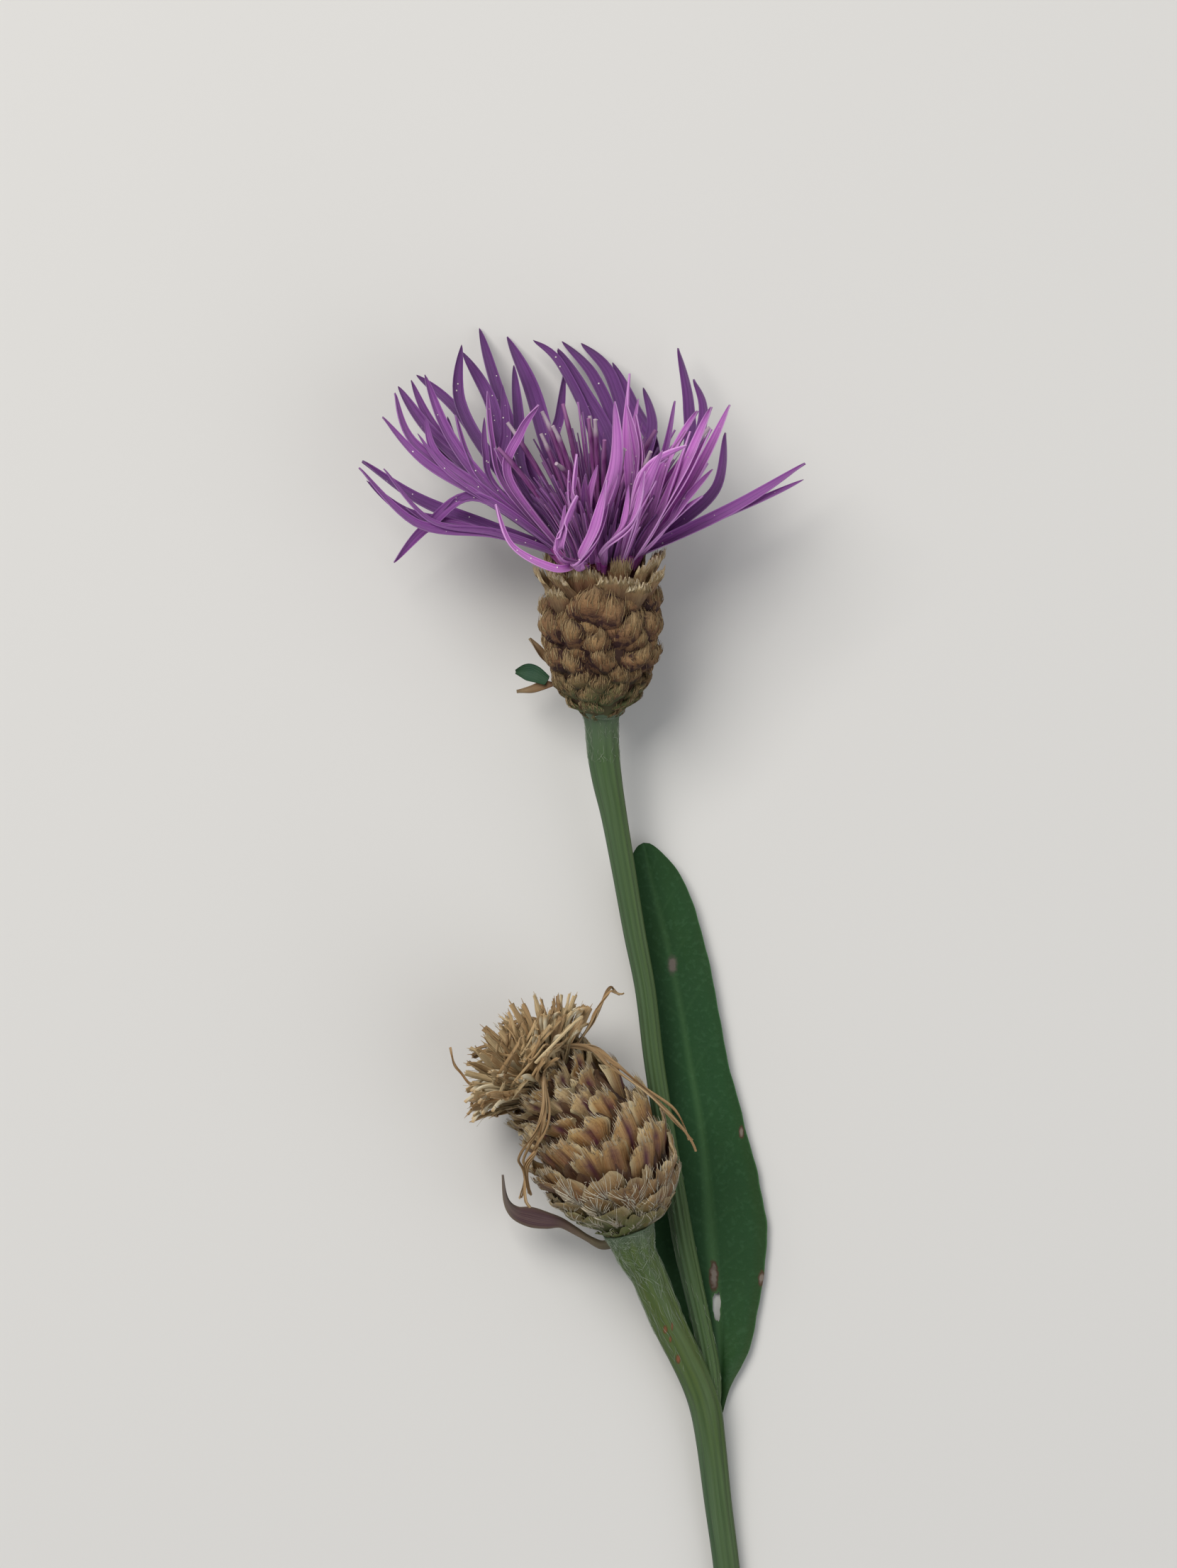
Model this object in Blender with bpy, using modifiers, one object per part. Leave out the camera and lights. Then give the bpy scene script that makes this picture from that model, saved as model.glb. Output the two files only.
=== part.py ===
"""A cut sprig of brown knapweed, laid on its back: an open bloom, a dry seed head and a leaf on one stem.

Lengths in the tables are millimetres. +X is to the right, +Y runs up the stem and +Z stands up from the
surface that the sprig lies on. The origin is the middle of the sprig's outline, on that surface.
"""

import math
import random

import bmesh
import bpy
from mathutils import Matrix, Quaternion, Vector

MM = 0.001
GAP = 0.3
BLADE = 0.6
LOWEST_TIP = 0.3
GOLDEN_ANGLE = math.radians(137.508)

# Stem: a stout lower length that runs on into the branch of the seed head, and a thinner stem for the bloom.
# Each row is x, y, z of the middle of the stem, and its radius.
STOUT_ROUTE = [
    (13.3, -57.5, 0.95, 1.12),
    (12.7, -51.8, 1.05, 1.12),
    (12.0, -46.5, 1.3, 1.17),
    (11.4, -41.4, 1.7, 1.26),
    (10.9, -38.2, 2.1, 1.36),
    (10.1, -35.8, 2.7, 1.36),
    (8.9, -33.2, 3.5, 1.38),
    (7.4, -30.1, 4.6, 1.45),
    (5.8, -26.2, 6.1, 1.52),
    (4.75, -24.3, 6.95, 1.6),
    (4.3, -22.9, 7.3, 1.7),
]
SLIM_ROUTE = [
    (11.2, -39.8, 1.75, 0.7),
    (11.4, -37.0, 1.85, 0.85),
    (11.3, -34.6, 1.9, 0.82),
    (10.7, -31.4, 2.05, 0.8),
    (9.8, -27.4, 2.25, 0.87),
    (8.9, -23.2, 2.5, 0.92),
    (8.1, -18.4, 2.75, 0.86),
    (7.2, -13.1, 3.05, 0.85),
    (6.3, -7.3, 3.4, 0.84),
    (5.55, -1.1, 3.75, 0.86),
    (4.6, 3.9, 4.15, 0.93),
    (3.65, 9.4, 4.65, 1.0),
    (2.8, 14.2, 5.1, 1.1),
    (2.2, 17.3, 5.45, 1.27),
    (1.85, 19.8, 5.75, 1.38),
    (1.68, 22.68, 6.2, 1.42),
]
STEM_RIBS = 6
RIB_DEPTH = 0.1

# Heads. Height runs along the head's axis from the stem, and azimuth counts from the right-hand side over the
# underside, so 90 degrees faces the surface below and 270 degrees faces up. Lean is to the left, rise is
# upwards and bend is how fast the lean grows with height, in degrees. Profiles are rows of radius and height.
BLOOM_BASE = (1.66, 23.0, 6.3)
BLOOM_LEAN, BLOOM_RISE, BLOOM_BEND = 0.0, 18.0, 0.0
BLOOM_PROFILE = [
    (1.3, 0.0),
    (1.8, 0.4),
    (2.9, 1.4),
    (3.8, 2.8),
    (4.5, 4.8),
    (4.75, 7.4),
    (4.7, 10.0),
    (4.4, 12.7),
]
BLOOM_BUNDLE = [(3.0, 13.0), (3.4, 13.8), (3.7, 14.6), (3.6, 15.1), (2.4, 15.6)]
BLOOM_MOUTH = 14.1
SEED_BASE = (4.03, -22.4, 7.45)
SEED_LEAN, SEED_RISE, SEED_BEND = 8.0, 4.0, 2.6
SEED_PROFILE = [
    (1.6, 0.0),
    (3.1, 1.0),
    (4.6, 2.5),
    (5.35, 5.0),
    (5.25, 8.0),
    (4.6, 11.0),
    (4.2, 12.7),
    (3.9, 13.4),
]
SEED_PLUG = [(2.7, 13.7), (3.2, 14.5), (3.5, 15.3), (2.6, 16.2)]
SEED_MOUTH = 14.2

# Scales: rows from the stem upwards, each with its height up the head, count, length, width and lift at the
# tip. A scale is domed across, its lower half is sunk in the core, and it narrows to a blunt tip.
BLOOM_SCALES = [
    (0.3, 7, 2.2, 1.7, 0.35),
    (1.6, 8, 2.8, 2.3, 0.5),
    (3.5, 9, 3.2, 2.7, 0.6),
    (5.6, 9, 3.5, 3.0, 0.7),
    (7.9, 10, 3.7, 2.8, 0.75),
    (10.3, 9, 4.0, 3.0, 1.15),
]
SEED_SCALES = [
    (0.5, 7, 3.1, 2.4, 0.7),
    (2.1, 8, 3.6, 3.2, 0.9),
    (4.1, 9, 3.9, 3.5, 1.2),
    (6.3, 9, 4.0, 3.4, 1.35),
    (8.5, 9, 3.9, 3.1, 1.3),
    (10.5, 8, 3.7, 2.9, 1.1),
    (12.0, 8, 3.3, 2.6, 0.9),
]
SCALE_DOME = 0.55
SCALE_SUNK = 0.7
SCALE_SHOULDER = 0.65
SCALE_BASE_WIDTH = 0.75
SCALE_POINT = 0.3
BLOOM_SCALE_TIP = 0.6
SEED_SCALE_TIP = 0.3
CORE_ABOVE_RIM = (0.6, 3.2)

# Ray lobes of the bloom, each through two places to its tip: right and up from the middle of the mouth in
# sixteenths of a millimetre, then height above the mouth in millimetres. The last number is the lobe's width.
SIXTEENTH = MM / 16
RAY_LOBES = [
    ((-148, 41, 1.0), (-258, 55, 2.0), (-339, 133, 2.5), 1.3),
    ((-190, 52, 0.2), (-273, 72, 0.3), (-329, 116, 0.8), 1.2),
    ((-158, 52, -1.0), (-258, 92, -2.2), (-337, 145, -3.4), 1.7),
    ((-173, 92, 1.8), (-248, 49, -0.3), (-292, 3, -2.6), 1.4),
    ((-158, 85, 1.6), (-248, 142, 1.6), (-307, 205, 0.6), 1.2),
    ((-168, 102, 0.9), (-263, 169, 0.8), (-290, 239, 0.3), 1.5),
    ((-168, 117, -0.2), (-243, 187, -1.2), (-286, 250, -2.4), 1.9),
    ((-168, 107, -0.8), (-238, 197, -2.0), (-268, 259, -2.8), 1.3),
    ((-158, 107, 0.6), (-216, 182, 0.2), (-248, 265, -0.2), 1.7),
    ((-148, 137, -2.0), (-208, 222, -4.4), (-261, 269, -6.6), 1.7),
    ((-148, 137, -1.4), (-200, 227, -3.0), (-197, 310, -4.2), 1.8),
    ((-128, 137, -2.2), (-160, 237, -5.0), (-196, 302, -7.2), 1.9),
    ((-108, 137, -3.0), (-148, 252, -6.6), (-173, 338, -10.4), 1.9),
    ((-136, 107, 1.0), (-155, 177, 1.6), (-160, 241, 1.2), 1.0),
    ((-148, 107, 0.4), (-163, 157, 0.4), (-164, 205, 0.0), 0.9),
    ((-133, 117, -0.4), (-134, 187, -1.4), (-139, 252, -2.6), 1.4),
    ((-130, 117, 2.6), (-113, 182, 4.0), (-88, 220, 4.4), 1.2),
    ((-73, 157, -3.4), (-100, 252, -7.0), (-134, 326, -10.4), 2.2),
    ((14, 157, -3.2), (-28, 247, -6.2), (-62, 307, -8.8), 2.3),
    ((-8, 167, -3.6), (-56, 282, -6.6), (-96, 320, -8.4), 1.2),
    ((-65, 157, -3.4), (-59, 212, -5.6), (-52, 277, -7.6), 1.3),
    ((20, 177, -4.2), (-10, 267, -7.6), (-55, 320, -10.4), 1.5),
    ((37, 157, -4.0), (14, 267, -7.4), (-28, 317, -10.4), 1.7),
    ((77, 147, -3.0), (45, 227, -5.8), (16, 288, -8.4), 1.7),
    ((-3, 47, 4.4), (20, 137, 8.4), (18, 220, 10.6), 1.8),
    ((42, 77, 3.2), (36, 187, 5.4), (39, 262, 6.2), 1.3),
    ((47, 77, 3.8), (50, 147, 6.8), (36, 217, 8.0), 1.4),
    ((42, 52, 5.2), (64, 127, 8.2), (118, 160, 9.0), 1.4),
    ((47, 57, 5.6), (60, 102, 8.4), (84, 152, 10.6), 1.6),
    ((67, 62, 3.4), (97, 147, 6.4), (134, 209, 7.4), 1.8),
    ((77, 57, 4.2), (117, 132, 7.2), (153, 214, 8.2), 2.0),
    ((87, 47, 2.8), (142, 142, 4.8), (179, 219, 5.4), 1.5),
    ((102, 52, -0.8), (162, 107, -1.6), (175, 185, -2.6), 1.8),
    ((117, 137, -2.2), (124, 227, -5.0), (109, 308, -7.4), 1.6),
    ((112, 107, -0.8), (144, 207, -1.2), (130, 260, -1.8), 1.4),
    ((77, 107, 1.0), (93, 167, 1.6), (103, 227, 1.8), 1.3),
    ((92, 52, 4.0), (122, 92, 5.0), (155, 129, 5.4), 1.1),
    ((92, 32, 0.4), (192, 82, 1.2), (285, 139, 2.2), 1.6),
    ((92, 30, 0.2), (207, 82, 0.9), (283, 117, 1.4), 1.0),
    ((-50, 28, 5.0), (-43, 57, 7.6), (-32, 90, 9.6), 1.4),
    ((-42, 52, 3.2), (-40, 97, 6.2), (-35, 149, 8.0), 1.1),
    ((-84, 12, 5.3), (-136, 32, 6.2), (-144, 92, 6.2), 1.2),
    ((-22, 47, 2.4), (-16, 92, 4.4), (-5, 135, 5.4), 1.2),
    ((-110, 87, 1.0), (-128, 122, 2.4), (-150, 160, 3.2), 1.0),
    ((57, 132, -1.6), (72, 197, -3.4), (60, 250, -5.0), 1.5),
    ((-110, 127, -1.4), (-118, 212, -3.6), (-124, 282, -5.6), 1.6),
]

DISC_FLORETS = 30
ANTHERS = 9
TUFT_FLORETS = 78
TUFT_REACH = 8.3
TUFT_SPREAD = 68.0
TUFT_ROOT = 15.3

# Stray dry florets that lie over the seed head, from inside the tuft outwards: azimuth in degrees, distance
# from the head's core, height and thickness.
STRAY_FLORETS = [
    [(312, -1.6, 15.7, 0.9), (317, 0.5, 16.9, 0.75), (324, 2.5, 15.0, 0.7), (332, 2.2, 11.4, 0.7),
     (341, 2.1, 8.2, 0.7), (350, 2.3, 5.6, 0.6)],
    [(345, -1.6, 15.6, 0.9), (352, 0.6, 16.0, 0.7), (356, 2.6, 16.4, 0.65), (0, 4.4, 16.8, 0.65),
     (5, 5.8, 16.9, 0.6), (9, 6.3, 16.1, 0.6)],
    [(262, -1.6, 15.6, 0.9), (255, 0.9, 16.2, 0.75), (242, 2.0, 13.8, 0.75), (226, 2.1, 11.0, 0.7),
     (208, 2.1, 8.8, 0.7), (196, 2.2, 6.6, 0.65), (190, 2.6, 4.0, 0.6)],
    [(190, -1.0, 17.0, 0.9), (186, 0.8, 19.6, 1.0), (184, 0.9, 21.6, 0.7), (184, 0.1, 23.6, 0.6)],
]

# Leaf: x, y, z of its midrib from the fork to the tip, and its half width at each of these places.
LEAF_ROUTE = [
    (11.9, -38.6, 0.75, 0.55),
    (12.2, -36.2, 0.5, 1.0),
    (12.2, -33.2, 0.42, 2.6),
    (11.9, -28.6, 0.37, 3.9),
    (11.5, -23.4, 0.36, 4.9),
    (11.1, -18.6, 0.38, 4.6),
    (10.5, -13.2, 0.42, 3.8),
    (9.5, -7.6, 0.55, 3.35),
    (8.5, -1.8, 0.75, 3.3),
    (7.3, 3.8, 0.95, 3.2),
    (6.2, 8.2, 1.2, 2.7),
    (5.3, 11.9, 1.5, 0.45),
]
LEAF_STEPS = 22
LEAF_EDGE_RISE = 0.55
LEAF_WAVE = 0.12
LEAF_SCAR = (11.9, -29.3)
LEAF_SCAR_SIZE = (0.4, 1.5)

# Narrow leaves beside the heads: x, y, z and width along each, from the root to the tip.
SMALL_BLADE_STEPS = 8
LEAFLET = [
    (-3.1, 26.2, 5.9, 0.9),
    (-4.2, 26.8, 5.5, 1.3),
    (-5.0, 27.0, 5.2, 1.3),
    (-5.8, 26.9, 5.0, 0.6),
]
DRY_BRACT = [
    (1.6, -23.7, 6.4, 0.8),
    (0.4, -22.9, 6.2, 0.8),
    (-0.6, -22.3, 5.9, 0.8),
    (-1.9, -21.6, 5.4, 0.9),
    (-3.2, -21.4, 5.0, 1.3),
    (-4.6, -21.1, 4.8, 1.6),
    (-5.9, -20.7, 4.8, 1.2),
    (-6.7, -19.6, 4.9, 0.8),
    (-7.0, -17.4, 5.1, 0.6),
]


def mm(*values):
    return Vector(values) * MM


def metres(rows):
    return [tuple(value * MM for value in row) for row in rows]


def through(rows, share):
    """The place a share of the way along a smooth line through the rows, column by column."""
    at = share * (len(rows) - 1)
    index = min(int(at), len(rows) - 2)
    local = at - index
    before = rows[max(index - 1, 0)]
    start, end = rows[index], rows[index + 1]
    after = rows[min(index + 2, len(rows) - 1)]
    found = []
    for a, b, c, d in zip(before, start, end, after):
        slope = c - a
        curve = 2 * a - 5 * b + 4 * c - d
        ease = 3 * b - a - 3 * c + d
        found.append(b + 0.5 * (slope * local + curve * local**2 + ease * local**3))
    return found


def head_space(base, lean, rise, bend):
    """A function that takes a place in a head to the world: X right, Y towards the surface, Z up the axis.

    A bent axis runs on straight above the mouth.
    """
    lean, rise, bend = math.radians(lean), math.radians(rise), math.radians(bend) / MM
    axis = Vector((-math.sin(lean) * math.cos(rise), math.cos(lean) * math.cos(rise), math.sin(rise)))
    right = Vector((math.cos(lean), math.sin(lean), 0.0))
    turn = Matrix((right, axis.cross(right), axis)).transposed()

    def place(x, y, z):
        x, y, z = x * MM, y * MM, z * MM
        if bend:
            bent = min(z, SEED_MOUTH * MM)
            across, along = math.sin(bend * bent), math.cos(bend * bent)
            straight = z - bent
            z = x * across + across / bend + straight * along
            x = x * along - (1 - along) / bend - straight * across
        return mm(*base) + turn @ Vector((x, y, z))

    return place


def collection(name):
    made = bpy.data.collections.new(name)
    bpy.context.scene.collection.children.link(made)
    return made


def material(name, colour, roughness):
    made = bpy.data.materials.new(name)
    made.use_nodes = True
    shader = made.node_tree.nodes["Principled BSDF"]
    shader.inputs["Base Color"].default_value = (*colour, 1.0)
    shader.inputs["Roughness"].default_value = roughness
    made.diffuse_color = (*colour, 1.0)
    return made


def solid_object(name, mesh, group):
    made = bpy.data.objects.new(name, mesh)
    group.objects.link(made)
    return made


def baked(thing):
    """The thing's evaluated mesh in world space, and the thing itself removed."""
    bpy.context.view_layer.update()
    graph = bpy.context.evaluated_depsgraph_get()
    mesh = bpy.data.meshes.new_from_object(thing.evaluated_get(graph))
    mesh.transform(thing.matrix_world)
    bpy.data.objects.remove(thing)
    return mesh


def welded(mesh):
    """The mesh of a curve with its end caps welded on and its faces turned outwards."""
    bm = bmesh.new()
    bm.from_mesh(mesh)
    bmesh.ops.remove_doubles(bm, verts=bm.verts, dist=0.002 * MM)
    bmesh.ops.recalc_face_normals(bm, faces=bm.faces)
    bm.to_mesh(mesh)
    bm.free()
    return mesh


def bent_grid(name, across, along, surface, group):
    """A grid whose point at u from -1 to 1 and v from 0 to 1 goes to surface(u, v), made a solid sheet."""
    mesh = bpy.data.meshes.new(name)
    bm = bmesh.new()
    bmesh.ops.create_grid(bm, x_segments=across, y_segments=along, size=1.0)
    for vertex in bm.verts:
        vertex.co = surface(vertex.co.x, (vertex.co.y + 1) / 2)
    bm.to_mesh(mesh)
    bm.free()
    sheet = solid_object(name, mesh, group)
    shell = sheet.modifiers.new("thickness", "SOLIDIFY")
    shell.thickness = BLADE * MM
    shell.offset = 0.0
    return sheet


def ribbon(name, path, width, facing, twist, steps, group):
    """A flat blade along path(v) whose face looks along facing(point), turned by twist over its length."""

    def surface(u, v):
        point = path(v)
        tangent = (path(min(v + 0.02, 1.0)) - path(max(v - 0.02, 0.0))).normalized()
        side = tangent.cross(facing(point)).normalized()
        side = Quaternion(tangent, twist * v) @ side
        return point + side * (u * width(v) * MM / 2)

    return bent_grid(name, 1, steps, surface, group)


def needle(name, path, thick, steps, sides, group):
    """A thin tapering spike along path(v): a curve with few sides, closed at both ends."""
    curve = bpy.data.curves.new(name, "CURVE")
    curve.dimensions = "3D"
    curve.bevel_mode = "OBJECT"
    curve.bevel_object = round_guide(sides)
    curve.use_fill_caps = True
    spline = curve.splines.new("POLY")
    spline.points.add(steps)
    for index, point in enumerate(spline.points):
        v = index / steps
        point.co = (*path(v), 1.0)
        point.radius = thick(v) * MM / 2
    return solid_object(name, welded(baked(solid_object(name, curve, group))), group)


def section_guide(name, points):
    """A closed outline that stems and needles are drawn along, hidden from the render."""
    if name in bpy.data.objects:
        return bpy.data.objects[name]
    curve = bpy.data.curves.new(name, "CURVE")
    curve.dimensions = "2D"
    spline = curve.splines.new("POLY")
    spline.points.add(len(points) - 1)
    for place, (x, y) in zip(spline.points, points):
        place.co = (x, y, 0.0, 1.0)
    spline.use_cyclic_u = True
    guide = bpy.data.objects.new(name, curve)
    guides.objects.link(guide)
    guide.hide_render = True
    guide.display_type = "WIRE"
    return guide


def round_guide(sides):
    turn = 2 * math.pi / sides
    return section_guide(f"section_{sides}", [(math.cos(i * turn), math.sin(i * turn)) for i in range(sides)])


def ribbed_guide(depth):
    """A round outline of radius 1 with a groove between each two ribs."""
    count = 2 * STEM_RIBS
    points = []
    for index in range(count):
        angle = 2 * math.pi * index / count
        reach = 1.0 - depth * (index % 2)
        points.append((reach * math.cos(angle), reach * math.sin(angle)))
    return section_guide("section_ribbed", points)


def stem_length(name, route, steps, guide, grow, group):
    """One length of stem as a mesh, drawn along a smooth line through its route."""
    rows = metres(route)
    curve = bpy.data.curves.new(name, "CURVE")
    curve.dimensions = "3D"
    curve.bevel_mode = "OBJECT"
    curve.bevel_object = guide
    curve.use_fill_caps = True
    spline = curve.splines.new("POLY")
    spline.points.add(steps)
    for index, point in enumerate(spline.points):
        x, y, z, radius = through(rows, index / steps)
        point.co = (x, y, z, 1.0)
        point.radius = radius + grow * MM
    return solid_object(name, welded(baked(solid_object(name, curve, group))), group)


def one_body(mesh):
    """Fills the hollows that the union sealed and drops loose scraps, so that one skin is left."""
    bm = bmesh.new()
    bm.from_mesh(mesh)
    left = set(bm.faces)
    skins = []
    while left:
        unseen = [left.pop()]
        skin = set(unseen)
        while unseen:
            for edge in unseen.pop().edges:
                for face in edge.link_faces:
                    if face in left:
                        left.discard(face)
                        skin.add(face)
                        unseen.append(face)
        skins.append(skin)
    skins.sort(key=lambda skin: sum(face.calc_area() for face in skin))
    for skin in skins[:-1]:
        bmesh.ops.delete(bm, geom=list(skin), context="FACES")
    bm.to_mesh(mesh)
    bm.free()


def fused(core, pieces):
    """The core and every object of the collection of pieces as one mesh, by a Boolean union."""
    union = core.modifiers.new("fuse", "BOOLEAN")
    union.operation = "UNION"
    union.operand_type = "COLLECTION"
    union.collection = pieces
    union.solver = "MANIFOLD"
    mesh = baked(core)
    for piece in list(pieces.objects):
        bpy.data.objects.remove(piece)
    bpy.data.collections.remove(pieces)
    return mesh


def joined(name, core, pieces):
    """The core and the pieces as one closed body."""
    mesh = fused(core, pieces)
    one_body(mesh)
    return solid_object(name, mesh, sprig)


def cut_clear(thing, cutter):
    """Cuts the cutter's shape out of the thing, and removes the cutter."""
    cutter.hide_render = True
    cutter.display_type = "WIRE"
    for piece in (thing, cutter):
        piece.modifiers.new("flat faces", "TRIANGULATE")
    cut = thing.modifiers.new("clear", "BOOLEAN")
    cut.operation = "DIFFERENCE"
    cut.object = cutter
    cut.solver = "MANIFOLD"
    mesh = baked(thing)
    bpy.data.objects.remove(cutter)
    return mesh


def levelled(thing):
    """Cuts off what reaches below the surface, so that the low points have small flat spots."""
    bpy.ops.mesh.primitive_cube_add(size=1.0, location=mm(0, 0, -5))
    slab = bpy.context.object
    slab.dimensions = mm(200, 200, 10)
    name = thing.name
    mesh = cut_clear(thing, slab)
    one_body(mesh)
    return solid_object(name, mesh, sprig)


def turned(name, profile, place, sides, group):
    """A body turned about a head's axis from its profile of radius and height, closed at both ends."""
    mesh = bpy.data.meshes.new(name)
    bm = bmesh.new()
    rows = [(0.0, profile[-1][1]), *reversed(profile), (0.0, profile[0][1])]
    points = [bm.verts.new(mm(radius, 0.0, height)) for radius, height in rows]
    for start, end in zip(points, points[1:]):
        bm.edges.new((start, end))
    bm.to_mesh(mesh)
    bm.free()
    body = solid_object(name, mesh, group)
    spin = body.modifiers.new("turn", "SCREW")
    spin.steps = sides
    spin.render_steps = sides
    spin.use_merge_vertices = True
    spin.merge_threshold = 0.01 * MM
    mesh = baked(body)
    for vertex in mesh.vertices:
        vertex.co = place(*(vertex.co / MM))
    return solid_object(name, mesh, group)


def radius_at(profile, height):
    for (low_r, low), (high_r, high) in zip(profile, profile[1:]):
        if height <= high:
            share = max(0.0, (height - low) / (high - low))
            return low_r + (high_r - low_r) * share
    return profile[-1][0]


def scale(name, profile, place, azimuth, low, length, width, lift, tip_share, group):
    """A scale that leaves the head at height low, hugs its side and lifts at the tip, thick to the core."""

    def share_of_width(v):
        if v < SCALE_SHOULDER:
            return SCALE_BASE_WIDTH + (1 - SCALE_BASE_WIDTH) * math.sin(math.pi * v / 2 / SCALE_SHOULDER)
        return 1.0 - (1.0 - tip_share) * (v - SCALE_SHOULDER) / (1 - SCALE_SHOULDER)

    def surface(u, v, buried):
        height = low + length * v
        radius = radius_at(profile, height) - SCALE_SUNK
        if buried:
            radius -= BLADE
        else:
            raised = 1.9 * v**2 - 0.9 * v**4
            radius += (lift + SCALE_SUNK) * raised - SCALE_DOME * u * u * (0.3 + 0.7 * v)
        rounded = SCALE_POINT * (1 - abs(u)) if v > 0.99 else 0.0
        angle = azimuth + u * share_of_width(v) * width / 2 / radius_at(profile, low + length / 2)
        return place(radius * math.cos(angle), radius * math.sin(angle), height + rounded)

    mesh = bpy.data.meshes.new(name)
    bm = bmesh.new()
    bmesh.ops.create_grid(bm, x_segments=2, y_segments=3, size=1.0)
    outer = list(bm.verts)
    bmesh.ops.extrude_face_region(bm, geom=bm.faces[:], use_keep_orig=True)
    for vertex in bm.verts:
        vertex.co = surface(vertex.co.x, (vertex.co.y + 1) / 2, vertex not in outer)
    bmesh.ops.recalc_face_normals(bm, faces=bm.faces)
    bm.to_mesh(mesh)
    bm.free()
    return solid_object(name, mesh, group)


def scaly_head(name, profile, rows, tip_share, filling, place, chance):
    """The cup of overlapping scales under a head, on its smaller core, hollowed for what fills its mouth."""
    pieces = collection(name + "_pieces")
    # The core runs on up inside the uppermost scales, and most of that is cut away again with the mouth.
    rim, top = profile[-1]
    inside = rim - SCALE_SUNK - BLADE / 2
    extension = [(inside, top + above) for above in CORE_ABOVE_RIM]
    core = turned(name + "_core", [*profile, *extension], place, 20, sprig)
    for index, (low, count, length, width, lift) in enumerate(rows):
        for number in range(count):
            scale(
                name + "_scale",
                profile,
                place,
                2 * math.pi * (number + 0.5 * (index % 2) + chance.uniform(-0.08, 0.08)) / count,
                low + chance.uniform(-0.25, 0.25),
                length * chance.uniform(0.93, 1.07),
                width * chance.uniform(0.93, 1.04),
                lift * chance.uniform(0.8, 1.2),
                tip_share,
                pieces,
            )
    for piece in (core, *pieces.objects):
        piece.modifiers.new("flat faces", "TRIANGULATE")
    cup = solid_object(name, fused(core, pieces), sprig)
    clear = [(radius + GAP, height) for radius, height in filling[:-1]]
    clear = [(clear[0][0], top), *clear, (clear[-1][0], filling[-1][1] + 3)]
    mesh = cut_clear(cup, turned(name + "_clear", clear, place, 16, sprig))
    one_body(mesh)
    return solid_object(name, mesh, sprig)


def lobe_width(width):
    """Width along a lobe: a slim claw, the broadest part past half-way, and a pointed tip."""

    def at(v):
        if v < 0.6:
            return width * (0.5 + 0.5 * math.sin(math.pi * v / 1.2))
        return width * (1 - 0.88 * ((v - 0.6) / 0.4) ** 1.7)

    return at


def ray_lobe(row, place, mouth, chance, group):
    """One long lobe of an outer floret, from the throat out between its neighbours to the tip."""
    *stations, width = row
    points = [mouth + Vector((x * SIXTEENTH, y * SIXTEENTH, z * MM)) for x, y, z in stations]
    for point in points:
        point.z = max(point.z, LOWEST_TIP * MM)
    outward = points[0] - mouth
    across = outward.dot(place(1, 0, 0) - place(0, 0, 0))
    under = outward.dot(place(0, 1, 0) - place(0, 0, 0))
    azimuth = math.atan2(under, across)
    points.insert(0, place(3.1 * math.cos(azimuth), 3.1 * math.sin(azimuth), BLOOM_MOUTH + 0.6))
    above = place(0.0, 0.0, 30.0)
    upwards = 1.0 if (above - points[2]).normalized().z > -0.3 else -1.0
    twist = math.radians(chance.uniform(-25, 25))

    def facing(point):
        return (above - point).normalized() + Vector((0.0, 0.0, upwards))

    return ribbon(
        "ray_lobe",
        lambda v: Vector(through(points, v)),
        lobe_width(width),
        facing,
        twist,
        6,
        group,
    )


def disc_floret(index, place, chance, group):
    """A short pointed lobe or a column of anthers in the middle of the bloom."""
    share = (index + 0.5) / (DISC_FLORETS + ANTHERS)
    radius = 3.1 * math.sqrt(share)
    azimuth = index * GOLDEN_ANGLE
    flare = 0.2 + 0.5 * share
    column = index % 4 == 2
    length = chance.uniform(10.5, 13.0) if column else chance.uniform(5.0, 8.5)

    def path(v):
        reach = radius + length * flare * v * (0.5 + 0.3 * v)
        height = BLOOM_MOUTH + 0.9 + length * v * (1 - 0.12 * flare * v)
        return place(reach * math.cos(azimuth), reach * math.sin(azimuth), height)

    def thick(v):
        return 0.85 if column else 0.95 - 0.6 * v**2

    return needle("disc_floret", path, thick, 2, 4 if column else 3, group)


def bloom_florets(place):
    """Every floret of the bloom on the bundle of tubes that stands in the mouth of the cup."""
    chance = random.Random(7)
    pieces = collection("floret_pieces")
    core = turned("floret_core", BLOOM_BUNDLE, place, 16, sprig)
    mouth = place(0.0, 0.0, BLOOM_MOUTH)
    for row in RAY_LOBES:
        ray_lobe(row, place, mouth, chance, pieces)
    for index in range(DISC_FLORETS + ANTHERS):
        disc_floret(index, place, chance, pieces)
    return joined("bloom_florets", core, pieces)


def tuft_floret(index, place, chance, group):
    """A dry floret of the seed head, from its mouth to the rim of a round brush."""
    share = (index + 0.5) / TUFT_FLORETS
    radius = 3.0 * math.sqrt(share)
    azimuth = index * GOLDEN_ANGLE
    opening = math.radians(TUFT_SPREAD) * share**0.6
    reach = TUFT_REACH * chance.uniform(0.88, 1.06)
    bow = chance.uniform(0.1, 0.9)
    swing = chance.uniform(-0.25, 0.25)

    def path(v):
        out = radius + (reach * math.sin(opening) - radius) * v
        up = TUFT_ROOT + (reach * math.cos(opening) + SEED_MOUTH - TUFT_ROOT) * v + 4 * bow * v * (1 - v)
        return place(out * math.cos(azimuth + swing * v), out * math.sin(azimuth + swing * v), up)

    return needle("tuft_floret", path, lambda v: 1.0 - 0.35 * v, 2, 3, group)


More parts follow.
